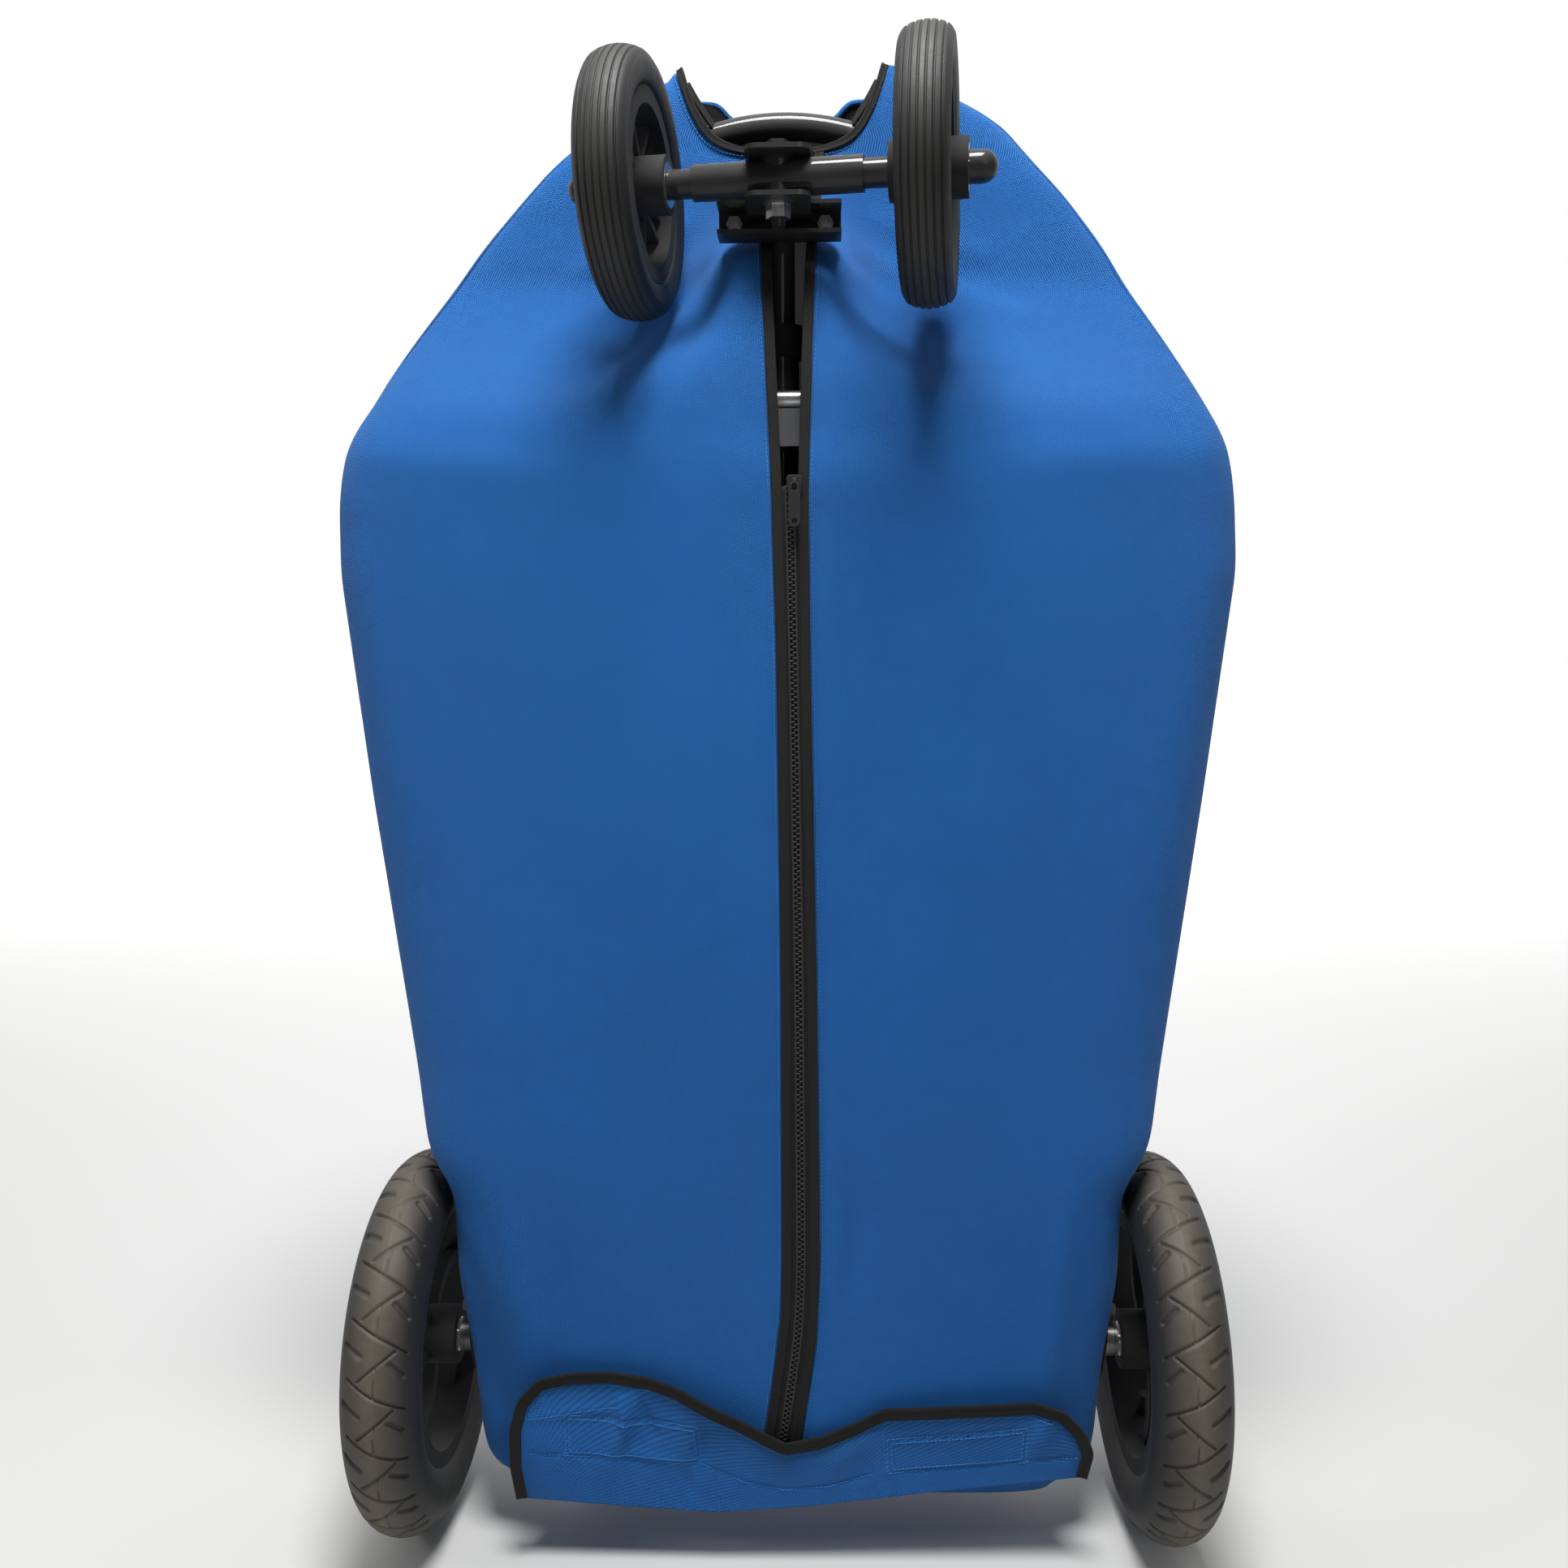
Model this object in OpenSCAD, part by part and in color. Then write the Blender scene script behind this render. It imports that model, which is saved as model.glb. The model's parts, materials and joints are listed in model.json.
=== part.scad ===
// Folded four-wheel push cart standing on its two large rear wheels, zipped into a fabric cover.
// Origin: on the floor, midway between the rear wheels, straight below the rear axle.
// +X is to the right, +Y to the back, +Z up. Millimetres.

/* [Rear wheels] */
// Outer radius of a rear tyre
rear_r = 156; // [154:0.5:158]
// Width of a rear tyre
rear_w = 62; // [58:1:64]
// Distance from the centre plane to the middle of a rear wheel
rear_half_track = 312.5; // [311:0.5:320]
// Radius of the rear axle rod
rear_axle_r = 6; // [5:0.5:6]

/* [Front wheels] */
// Outer radius of a front tyre
front_r = 95; // [92:0.5:96]
// Width of a front tyre
front_w = 38; // [34:1:38]
// Distance from the pivot to the middle of a front wheel
front_half_track = 110.5; // [110:0.5:114]
// Height of the front axle above the floor as the cart stands on end
front_axle_z = 1090; // [1088:1:1092]
// Distance of the front axle in front of the rear axle
front_axle_y = 61; // [59:1:62]
// Angle by which the front axle is rocked at rest
rock_rest = 8; // [0:0.5:8]

/* [Frame] */
// Radius of the handle hoop and of the side rails
rail_r = 11; // [9:0.5:11]
// Wall thickness of the frame tubes
tube_wall = 2; // [1.2:0.1:2.5]
// Radius of the lower spine tube
spine_r = 14; // [13.5:0.5:14]
// Radius of the curve at the top of the handle hoop
hoop_r = 200; // [190:1:205]
// Height of the top of the handle hoop's centre line
hoop_top_z = 1181; // [1178:1:1183]
// Radius of the cross bar
crossbar_r = 7; // [6:0.5:7]

/* [Cover] */
// Thickness of the cover's fabric with its lining
cloth_t = 3; // [2:0.5:3]
// Height of the cover's bottom
bag_bottom_z = 40; // [36:1:44]
// Height of the tips of the cover's front neckline
bag_top_z = 1220; // [1216:1:1224]
// Height of the zip's slider
slider_z = 868; // [860:1:868]
// Sideways place of the zip
zip_x = 11; // [9:0.5:13]

/* [Hidden] */
$fn = 64;
play = 0.05;

// Cover outline: half width, seam depth, front and back depth, each as [height, value].
HALF_WIDTH = [[40, 214], [50, 238], [65, 252], [85, 257], [110, 259], [150, 263], [190, 269],
              [225, 275], [300, 280], [330, 297], [345, 301], [625, 338],
              [806, 358], [860, 356], [890, 352], [912, 346], [938, 333], [992, 309], [1033, 287],
              [1075, 258], [1118, 223], [1148, 196], [1182, 158], [1209, 110], [1220, 86]];
SEAM_Y = [[40, -20], [300, 0], [907, 0], [950, 18], [992, 42], [1040, 68], [1075, 76], [1148, 88],
          [1220, 92]];
FRONT_Y = [[40, -38], [65, -57], [100, -66], [870, -66], [905, -58], [935, -42], [960, -14], [1000, 28],
           [1040, 62], [1100, 68], [1220, 66]];
BACK_Y = [[40, 62], [110, 86], [200, 110], [400, 126], [900, 128], [1100, 126], [1170, 122],
          [1220, 112]];
// Forward push of the strut on the front panel, and half the width of that push.
TENT_Y = [[870, 0], [905, 4], [935, 20], [960, 46], [1000, 78], [1040, 94], [1056, 74],
          [1085, 48], [1144, 18], [1220, 0]];
TENT_X = [[905, 170], [930, 150], [960, 105], [990, 70], [1020, 58], [1220, 55]];
ROWS = [40, 50, 65, 85, 120, 180, 235, 300, 330, 440, 540, 640, 740, 830, 875, 905, 930, 950, 975, 1000,
        1020, 1045, 1070, 1100, 1130, 1160, 1190, 1220];
COLUMNS = 48;
// How square the front is, as [height, value], and how square the back is.
FRONT_SQUARE = [[40, 4.5], [300, 4.5], [400, 3.2], [625, 2.8], [1220, 2.6]];
BACK_SQUARE = 4;

// Right half of the front neckline, from the tip down to the middle.
NECK = [[84, 1218], [80, 1204], [74, 1187], [65, 1170], [56, 1159], [45, 1151], [34, 1146]];
// Slit between the front panels, from the slider up to the neckline.
SLIT_LEFT = [[-4, 868], [-8, 960], [-14, 1047], [-25, 1144]];
SLIT_RIGHT = [[21, 868], [24, 960], [26, 1047], [34, 1146]];
slit_end_z = 862;
// Back neckline, hidden behind the hoop.
BACK_NECK = [[-96, 1240], [-86, 1212], [-78, 1205], [-58, 1205], [-51, 1200], [-44, 1190], [44, 1190],
             [51, 1200], [58, 1205], [78, 1205], [86, 1212], [96, 1240]];
// Height where the cover folds back from its upright front to its sloping top.
fold_z = 905;
binding_w = 7;
binding_t = 5;

hoop_angle = 49.6;
hoop_foot_y = 60;
hoop_foot_z = 930;
hoop_top_y = 98;
hoop_rise = norm([hoop_top_y - hoop_foot_y, hoop_top_z - hoop_foot_z]);
hoop_end = [hoop_r * sin(hoop_angle), hoop_rise - hoop_r * (1 - cos(hoop_angle))];
hoop_leg = hoop_end[1] / sin(hoop_angle);
hoop_foot = [hoop_end[0] + hoop_leg * cos(hoop_angle), hoop_foot_y, hoop_foot_z];
rail_foot_at = [236, 10, 172];
strut_r = 11;
strut_top_z = 1104;
spine_top_z = 985;
spine_foot_z = 172;
spine_overlap = 85;
axle_tube_r = 11;
axle_tube_half = 256;
crossbar_y = -(spine_r + crossbar_r + 1);
crossbar_z = 938;
crossbar_bend_x = 150;
collar_x = 266;
collar_len = 15;
hub_half = 29;
rim_r = 101.5;
rim_half_w = 23;
bearing_r = 14;
bearing_w = 9;
rear_spokes = 5;
front_spokes = 5;
front_hub_half = 28.5;
front_rim_r = 68;
front_stub_r = 6;
front_bearing_r = 16;
sleeve_half = 63.5;
sleeve_r = 13;
boss_r = 12;
boss_half = 14.3;
plate_t = 3.5;
plate_gap_half = 14.5;
plate_half_w = 24;
plate_back_y = -15;
pivot_r = 5;
foot_r = 13;
foot_h = 14;
foot_x = 150;
foot_y = 157.7;
stand_r = 8;
stand_top = [150, 0, 156];
tape_y = -66.2;
tape_t = 1.4;
chain_t = 2;
chain_half_w = 3;
zip_bottom_z = 106;
flap_y = -74.5;
flap_t = 2.5;

// ---------- helpers ----------

// Solid round bar from p to q.
module bar(p, q, r) {
    v = q - p;
    translate(p) rotate([0, acos(v[2] / norm(v)), atan2(v[1], v[0])]) cylinder(r = r, h = norm(v));
}

// Round bar along X, centred.
module bar_x(r, len) {
    rotate([0, 90, 0]) cylinder(r = r, h = len, center = true);
}

module both_sides() {
    children();
    mirror([1, 0, 0]) children();
}

// Point at a distance d from p towards q.
function towards(p, q, d) = p + (q - p) * d / norm(q - p);

// ---------- rear axle and frame ----------

module rear_axle_solid(r, half) {
    translate([0, 0, rear_r]) bar_x(r, 2 * half);
}

module rear_axle_rod() {
    color("silver") rear_axle_solid(rear_axle_r, rear_half_track + hub_half);
}

module rear_axle_tube() {
    color("#202022") difference() {
        rear_axle_solid(axle_tube_r, axle_tube_half);
        rear_axle_solid(rear_axle_r + play, axle_tube_half + 1);
    }
}

module axle_collars() {
    color("silver") both_sides() translate([collar_x + collar_len / 2, 0, rear_r]) difference() {
        bar_x(14, collar_len);
        bar_x(rear_axle_r + play, collar_len + 1);
    }
}

module release_knobs() {
    color("gray") both_sides() translate([collar_x + collar_len / 2, 0, rear_r + 14]) {
        cylinder(r = 4, h = 10);
        translate([0, 0, 10]) cylinder(r = 7, h = 6);
    }
}

module side_rail_solid(r) {
    bar(rail_foot_at, towards(hoop_foot, rail_foot_at, 9), r);
}

module side_rail() {
    color("#26272a") difference() {
        side_rail_solid(rail_r);
        bar(rail_foot_at - [0, 0, 1], towards(hoop_foot, rail_foot_at, 8), rail_r - tube_wall);
    }
}

module side_rail_right() {
    side_rail();
}

module side_rail_left() {
    mirror([1, 0, 0]) side_rail();
}

module rail_feet() {
    color("#161617") both_sides() difference() {
        union() {
            translate([rail_foot_at[0], 0, rear_r]) bar_x(17, 24);
            bar([rail_foot_at[0] - 1, 0, rear_r + 6], towards(rail_foot_at, hoop_foot, 28), 12.5);
        }
        rear_axle_solid(axle_tube_r + play, axle_tube_half + 1);
        bar(towards(rail_foot_at, hoop_foot, 0), towards(rail_foot_at, hoop_foot, 60),
            rail_r + play);
    }
}

module spine_foot() {
    color("#161617") difference() {
        union() {
            translate([0, 0, rear_r]) bar_x(18, 50);
            translate([0, 0, rear_r]) cylinder(r = spine_r + 4, h = 45);
        }
        rear_axle_solid(axle_tube_r + play, axle_tube_half);
        translate([0, 0, spine_foot_z]) cylinder(r = spine_r + play, h = 60);
    }
}

module spine_tube() {
    color("#26272a") translate([0, 0, spine_foot_z]) difference() {
        cylinder(r = spine_r, h = spine_top_z - spine_foot_z);
        translate([0, 0, -1]) cylinder(r = strut_r + play, h = spine_top_z);
    }
}

module strut_tube() {
    low = spine_top_z - spine_overlap;
    color("#161617") translate([0, 0, low]) difference() {
        cylinder(r = strut_r, h = strut_top_z - low);
        translate([0, 0, -1]) cylinder(r = strut_r - tube_wall, h = strut_top_z);
    }
}

module spine_collar() {
    color("#101011") difference() {
        translate([0, 0, spine_top_z - 12]) cylinder(r = spine_r + 3.5, h = 24);
        translate([0, 0, spine_top_z - 13]) cylinder(r = spine_r + play, h = 13);
        cylinder(r = strut_r + play, h = strut_top_z);
    }
}

// The handle hoop stands in a plane that leans back from its two feet.
module in_hoop_plane() {
    lean = atan2(hoop_top_y - hoop_foot_y, hoop_top_z - hoop_foot_z);
    translate([0, hoop_foot_y, hoop_foot_z]) rotate([90 - lean, 0, 0]) children();
}

module hoop_solid(r, short) {
    in_hoop_plane() translate([0, hoop_rise - hoop_r, 0]) {
        rotate([0, 0, 90 - hoop_angle])
            rotate_extrude(angle = 2 * hoop_angle, $fn = 128) translate([hoop_r, 0]) circle(r = r);
        both_sides() rotate([0, 0, 90 - hoop_angle]) translate([hoop_r, 0, 0]) rotate([90, 0, 0])
            cylinder(r = r, h = hoop_leg - short);
    }
}

module top_hoop() {
    color("#1a1a1b") hoop_solid(rail_r, 9);
}

module corner_joints() {
    joint_r = 19;
    color("#161617") both_sides() difference() {
        translate(hoop_foot) sphere(r = joint_r);
        hoop_solid(rail_r + play, 8.9);
        side_rail_solid(rail_r + play);
        crossbar_solid(crossbar_r + play);
    }
}

module crossbar_solid(r) {
    bend = [crossbar_bend_x, crossbar_y, crossbar_z];
    translate([0, crossbar_y, crossbar_z]) bar_x(r, 2 * crossbar_bend_x);
    both_sides() {
        translate(bend) sphere(r = r);
        bar(bend, towards(hoop_foot, bend, 15), r);
    }
}

module crossbar() {
    color("silver") difference() {
        crossbar_solid(crossbar_r);
        hoop_solid(rail_r + play, 8.9);
    }
}

module crossbar_clamp() {
    color("#77797c") difference() {
        translate([-19, -30, 902]) cube([38, 48, crossbar_z - crossbar_r - 0.5 - 902]);
        translate([0, 0, 900]) cylinder(r = spine_r + play, h = 60);
    }
}

module stand_leg(r) {
    bar(stand_top + [0, 12, -10], [foot_x, foot_y, foot_h - 2], r);
}

module stand_frame() {
    color("#202022") difference() {
        union() {
            both_sides() {
                stand_leg(stand_r);
                translate(stand_top) bar_x(axle_tube_r + 4, 26);
            }
            translate([0, foot_y - 22, foot_h + 8]) bar_x(stand_r - 2, 2 * foot_x);
        }
        rear_axle_solid(axle_tube_r + play, axle_tube_half + 1);
        both_sides() foot_solid();
    }
}

module foot_solid() {
    translate([foot_x, foot_y, 0]) cylinder(r = foot_r, h = foot_h);
}

module stand_feet() {
    color("#0c0c0d") both_sides() foot_solid();
}

// ---------- front bracket and pivot ----------

module fork_plate(z) {
    translate([0, 0, z]) linear_extrude(plate_t) difference() {
        union() {
            for (s = [-1, 1]) translate([s * (plate_half_w - 9), -front_axle_y - 14]) circle(r = 9);
            translate([9 - plate_half_w, -front_axle_y - 23]) square([2 * plate_half_w - 18, 30]);
            translate([-plate_half_w, -front_axle_y - 14])
                square([2 * plate_half_w, front_axle_y + 14 + plate_back_y]);
        }
        translate([0, -front_axle_y]) circle(r = pivot_r + play);
    }
}

module fork_plate_upper() {
    color("#131314") fork_plate(front_axle_z + plate_gap_half);
}

module fork_plate_lower() {
    color("#131314") fork_plate(front_axle_z - plate_gap_half - plate_t);
}

channel_z = 1058;
channel_h = 24;
channel_half_w = 47;
channel_depth = 24;

module front_bracket() {
    top = front_axle_z + plate_gap_half + plate_t;
    color("#131314") {
        translate([-channel_half_w, plate_back_y, channel_z]) cube([2 * channel_half_w, 3.5, channel_h]);
        for (z = [channel_z, channel_z + channel_h - 3])
            translate([-channel_half_w, plate_back_y - channel_depth, z])
                cube([2 * channel_half_w, channel_depth, 3]);
        translate([-plate_half_w, plate_back_y, channel_z]) cube([2 * plate_half_w, 3.5, top - channel_z]);
    }
}

module bracket_bolts() {
    color("silver") for (x = [-35, 35]) translate([x, plate_back_y, channel_z + channel_h / 2])
        rotate([90, 0, 0]) {
            cylinder(r = 6.5, h = 5, $fn = 6);
            translate([0, 0, 5]) cylinder(r = 4, h = 4);
        }
}

washer_t = 1.6;
pivot_top_z = front_axle_z + plate_gap_half + plate_t + washer_t;
pivot_low_z = front_axle_z - plate_gap_half - plate_t - washer_t;

module at_pivot(z) {
    translate([0, -front_axle_y, z]) children();
}

module pivot_bolt() {
    color("#1c1c1d") {
        at_pivot(pivot_low_z - 15) cylinder(r = pivot_r, h = pivot_top_z - pivot_low_z + 15);
        at_pivot(pivot_top_z) cylinder(r = 9, h = 6, $fn = 6);
    }
}

module pivot_washers() {
    color("silver") for (z = [pivot_top_z - washer_t, pivot_low_z]) at_pivot(z) difference() {
        cylinder(r = 11, h = washer_t);
        translate([0, 0, -1]) cylinder(r = pivot_r + play, h = washer_t + 2);
    }
}

module pivot_nut() {
    color("silver") at_pivot(pivot_low_z - 9) difference() {
        cylinder(r = 9, h = 9, $fn = 6);
        translate([0, 0, -1]) cylinder(r = pivot_r + play, h = 11);
    }
}

// ---------- front axle, which rocks about the pivot bolt ----------

module on_front_axle(rest = rock_rest) {
    translate([0, -front_axle_y, front_axle_z]) rotate([0, 0, -rest]) children();
}

module axle_sleeve() {
    color("#1a1a1b") on_front_axle() difference() {
        union() {
            bar_x(sleeve_r, 2 * sleeve_half);
            cylinder(r = boss_r, h = 2 * boss_half, center = true);
        }
        cylinder(r = pivot_r + play, h = 4 * boss_half, center = true);
        both_sides() translate([50, 0, 0]) bar_x(front_stub_r + play, 2 * (sleeve_half - 21));
    }
}

module axle_stubs() {
    color("silver") on_front_axle() both_sides() translate([(9 + 150) / 2, 0, 0])
        bar_x(front_stub_r, 150 - 9);
}

module axle_spacers() {
    hub_face = front_half_track - front_hub_half;
    color("#1a1a1b") on_front_axle() both_sides()
        translate([(sleeve_half + hub_face - 0.3) / 2, 0, 0]) difference() {
            bar_x(10.5, hub_face - 0.3 - sleeve_half);
            bar_x(front_stub_r + play, 60);
        }
}

module axle_caps() {
    from_x = front_half_track + front_hub_half + 0.3;
    color("#1a1a1b") on_front_axle() both_sides() difference() {
        union() {
            translate([from_x + 4.5, 0, 0]) bar_x(11.5, 9);
            intersection() {
                translate([from_x + 9, 0, 0]) sphere(r = 11.5);
                translate([from_x + 9, -20, -20]) cube(40);
            }
        }
        translate([140, 0, 0]) bar_x(front_stub_r + play, 20.2);
    }
}

// ---------- front wheels ----------

module on_front_wheel(side) {
    on_front_axle() translate([side * front_half_track, 0, 0]) rotate([0, 90, 0]) children();
}

module front_tyre(side) {
    crown = 30;
    grooves = 6;
    color("#1b1b1c") on_front_wheel(side) rotate_extrude($fn = 128) difference() {
        intersection() {
            translate([front_r - crown, 0]) circle(r = crown);
            translate([front_rim_r, -front_w / 2]) square([crown, front_w]);
        }
        for (i = [0:grooves - 1]) {
            z = (i - (grooves - 1) / 2) * 5.6;
            edge = front_r - crown + sqrt(crown * crown - z * z);
            translate([edge - 1.2, z - 0.7]) square([3, 1.4]);
        }
    }
}

module front_rim(side) {
    ring_in = 56;
    color("#202022") on_front_wheel(side) difference() {
        union() {
            difference() {
                cylinder(r = front_rim_r, h = 32, center = true, $fn = 128);
                cylinder(r = ring_in, h = 34, center = true, $fn = 128);
            }
            cylinder(r = 21, h = 2 * front_hub_half, center = true);
            for (i = [0:front_spokes - 1], s = [-1, 1]) rotate([0, 0, i * 360 / front_spokes])
                translate([15, s * 9 - 2.5, -7]) cube([ring_in - 13, 5, 14]);
        }
        cylinder(r = 9, h = 80, center = true);
        for (s = [-1, 1]) translate([0, 0, s * (front_hub_half - bearing_w / 2 + 0.5)])
            cylinder(r = front_bearing_r, h = bearing_w + 1, center = true);
    }
}

module front_bearings(side) {
    color("silver") on_front_wheel(side) for (s = [-1, 1])
        translate([0, 0, s * (front_hub_half - bearing_w / 2)]) difference() {
            cylinder(r = front_bearing_r, h = bearing_w, center = true);
            cylinder(r = front_stub_r + play, h = 20, center = true);
        }
}

module front_tyre_left() { front_tyre(-1); }
module front_tyre_right() { front_tyre(1); }
module front_rim_left() { front_rim(-1); }
module front_rim_right() { front_rim(1); }
module front_bearings_left() { front_bearings(-1); }
module front_bearings_right() { front_bearings(1); }

// ---------- rear wheels ----------

module on_rear_wheel(side) {
    translate([side * rear_half_track, 0, rear_r]) rotate([0, side * 90, 0]) children();
}

module rim_section() {
    half = rim_half_w;
    polygon([[92, -half], [106, -half], [106, -half + 3], [rim_r, -half + 4], [rim_r, -10],
             [97, -7], [97, 7], [rim_r, 10], [rim_r, half - 4], [106, half - 3], [106, half],
             [92, half]]);
}

section_at = rear_r - rear_w / 2;

module rear_tyre(side) {
    color("#2a2624") on_rear_wheel(side) rotate_extrude($fn = 160) difference() {
        translate([section_at, 0]) circle(r = rear_w / 2);
        translate([section_at, 0]) circle(r = rear_w / 2 - 5.5);
        translate([0, -rear_w]) square([rim_r + 0.1, 2 * rear_w]);
        rim_section();
    }
}

module tube_section(r, low) {
    intersection() {
        translate([section_at, 0]) circle(r = r);
        translate([low, -rear_w]) square([rear_w, 2 * rear_w]);
    }
}

module inner_tube(side) {
    r = rear_w / 2 - 5.7;
    color("#101011") on_rear_wheel(side) rotate_extrude($fn = 96) difference() {
        tube_section(r, rim_r + 0.2);
        tube_section(r - 1.5, rim_r + 1.7);
    }
}

module curved_spoke() {
    at = [46, 40];
    r = norm(at);
    linear_extrude(14, center = true) intersection() {
        difference() {
            translate(at) circle(r = r + 5, $fn = 96);
            translate(at) circle(r = r - 5, $fn = 96);
        }
        difference() {
            circle(r = 93);
            circle(r = 20);
        }
        rotate([0, 0, atan2(at[1], at[0]) - 90]) translate([0, -4]) square([100, 100]);
    }
}

module rear_rim(side) {
    color("#161617") on_rear_wheel(side) difference() {
        union() {
            rotate_extrude($fn = 128) rim_section();
            cylinder(r = 24, h = 2 * hub_half, center = true);
            for (i = [0:rear_spokes - 1]) rotate([0, 0, i * 360 / rear_spokes]) curved_spoke();
        }
        cylinder(r = 9, h = 100, center = true);
        for (s = [-1, 1]) translate([0, 0, s * (hub_half - bearing_w / 2 + 0.5)])
            cylinder(r = bearing_r, h = bearing_w + 1, center = true);
        valve_solid(4.1);
    }
}

module rear_bearings(side) {
    color("silver") on_rear_wheel(side) for (s = [-1, 1])
        translate([0, 0, s * (hub_half - bearing_w / 2)]) difference() {
            cylinder(r = bearing_r, h = bearing_w, center = true);
            cylinder(r = rear_axle_r + play, h = 20, center = true);
        }
}

module valve_solid(r) {
    rotate([0, 0, 20]) rotate([0, 90, 0]) translate([0, 0, 68]) cylinder(r = r, h = rim_r - 68);
}

module valve(side) {
    color("#0c0c0d") on_rear_wheel(side) valve_solid(4);
}

module hub_cap(side) {
    color("#161617") on_rear_wheel(side) translate([0, 0, hub_half + 0.2]) difference() {
        cylinder(r = 20, h = 5);
        translate([0, 0, -1]) cylinder(r = 7, h = 2.5);
    }
}

module rear_tyre_left() { rear_tyre(-1); }
module rear_tyre_right() { rear_tyre(1); }
module inner_tube_left() { inner_tube(-1); }
module inner_tube_right() { inner_tube(1); }
module rear_rim_left() { rear_rim(-1); }
module rear_rim_right() { rear_rim(1); }
module rear_bearings_left() { rear_bearings(-1); }
module rear_bearings_right() { rear_bearings(1); }
module valve_left() { valve(-1); }
module valve_right() { valve(1); }
module hub_cap_left() { hub_cap(-1); }
module hub_cap_right() { hub_cap(1); }

// ---------- cover ----------

// Rounding of a squared oval: how far out it is at a fraction f of its half width.
function bulge(f, square) = pow(max(0, 1 - pow(abs(f), square)), 1 / square);

function tent(x, z) = lookup(z, TENT_Y) / (1 + pow(abs(x) / lookup(z, TENT_X), 6));

// Depth of the front panel's outer face at a place x, z.
function front_y(x, z) =
    let (seam = lookup(z, SEAM_Y))
    seam - (seam - lookup(z, FRONT_Y)) * bulge(x / lookup(z, HALF_WIDTH), lookup(z, FRONT_SQUARE))
    - tent(x, z);

// Point of the cover at height z and angle a round it, moved in by a distance.
function cover_point(z, a, inset) =
    let (half = lookup(z, HALF_WIDTH) - inset,
         seam = lookup(z, SEAM_Y),
         front = sin(a) < 0,
         square = front ? lookup(z, FRONT_SQUARE) : BACK_SQUARE,
         reach = front ? seam - lookup(z, FRONT_Y) - inset : lookup(z, BACK_Y) - seam - inset,
         x = half * sign(cos(a)) * pow(abs(cos(a)), 2 / square),
         y = seam + reach * sign(sin(a)) * pow(abs(sin(a)), 2 / square))
    [x, y - (front ? tent(x, z) : 0), z];

// One panel of the cover: a closed sheet between two heights and two columns round it.
module panel(low, high, from, to) {
    rows = [for (z = ROWS) if (z >= low && z <= high) z];
    m = len(rows);
    n = to - from + 1;
    points = [for (inset = [0, cloth_t], z = rows, i = [from:to])
              cover_point(z, i * 360 / COLUMNS, inset)];
    k = n * m;
    outer = [for (i = [0:m - 2], j = [0:n - 2]) let (a = i * n + j)
             each [[a, a + n, a + 1], [a + 1, a + n, a + n + 1]]];
    inner = [for (f = outer) [f[0] + k, f[2] + k, f[1] + k]];
    from_edge = [for (i = [0:m - 2]) let (a = i * n)
                 each [[a + n, a, a + k], [a + n, a + k, a + n + k]]];
    to_edge = [for (i = [0:m - 2]) let (a = i * n + n - 1)
               each [[a, a + n, a + k], [a + n, a + n + k, a + k]]];
    low_edge = [for (a = [0:n - 2]) each [[a, a + 1, a + k], [a + 1, a + 1 + k, a + k]]];
    high_edge = [for (a = [k - n:k - 2]) each [[a + 1, a, a + k], [a + 1, a + k, a + 1 + k]]];
    polyhedron(points, concat(outer, inner, from_edge, to_edge, low_edge, high_edge), convexity = 6);
}

module neck_cut() {
    mirrored = [for (i = [len(NECK) - 1:-1:0]) [-NECK[i][0], NECK[i][1]]];
    translate([0, 78, 0]) rotate([90, 0, 0]) linear_extrude(60)
        polygon(concat(NECK, mirrored, [[-84, 1260], [84, 1260]]));
}

module slit_cut() {
    flipped = [for (i = [len(SLIT_LEFT) - 1:-1:0]) SLIT_LEFT[i]];
    translate([0, 74, 0]) rotate([90, 0, 0]) linear_extrude(200)
        polygon(concat([[8, slit_end_z]], SLIT_RIGHT, [[34, 1200], [-25, 1200]], flipped));
}

module cover_front() {
    color("#1652a8") difference() {
        panel(bag_bottom_z, fold_z, 29, 43);
        slit_cut();
    }
}

module cover_top(from, to) {
    color("#1652a8") difference() {
        panel(fold_z, bag_top_z, from, to);
        neck_cut();
        slit_cut();
    }
}

module cover_side(from, to) {
    color("#1652a8") difference() {
        panel(bag_bottom_z, bag_top_z, from, to);
        rear_axle_solid(32, 400);
    }
}

module cover_top_left() { cover_top(29, 36); }
module cover_top_right() { cover_top(36, 43); }
module cover_side_left() { cover_side(18, 29); }
module cover_side_right() { cover_side(-5, 6); }

module cover_back() {
    color("#1652a8") difference() {
        panel(bag_bottom_z, bag_top_z, 6, 18);
        translate([0, 150, 0]) rotate([90, 0, 0]) linear_extrude(100) polygon(BACK_NECK);
        both_sides() stand_leg(stand_r + 4);
    }
}

module cover_bottom() {
    color("#1652a8") translate([0, 0, bag_bottom_z]) linear_extrude(cloth_t)
        polygon([for (i = [0:COLUMNS - 1])
                 let (p = cover_point(bag_bottom_z, i * 360 / COLUMNS, cloth_t + play)) [p[0], p[1]]]);
}

// Row of short straight strips along a line of [x, z] points on the front panel.
module edge_strip(line) {
    for (i = [0:len(line) - 2]) hull() for (p = [line[i], line[i + 1]])
        translate([p[0] - binding_w / 2, front_y(p[0], p[1]) - 1, p[1] - binding_w / 2])
            cube([binding_w, binding_t, binding_w]);
}

module neck_binding() {
    color("#2b2d30") both_sides() edge_strip(NECK);
}

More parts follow.
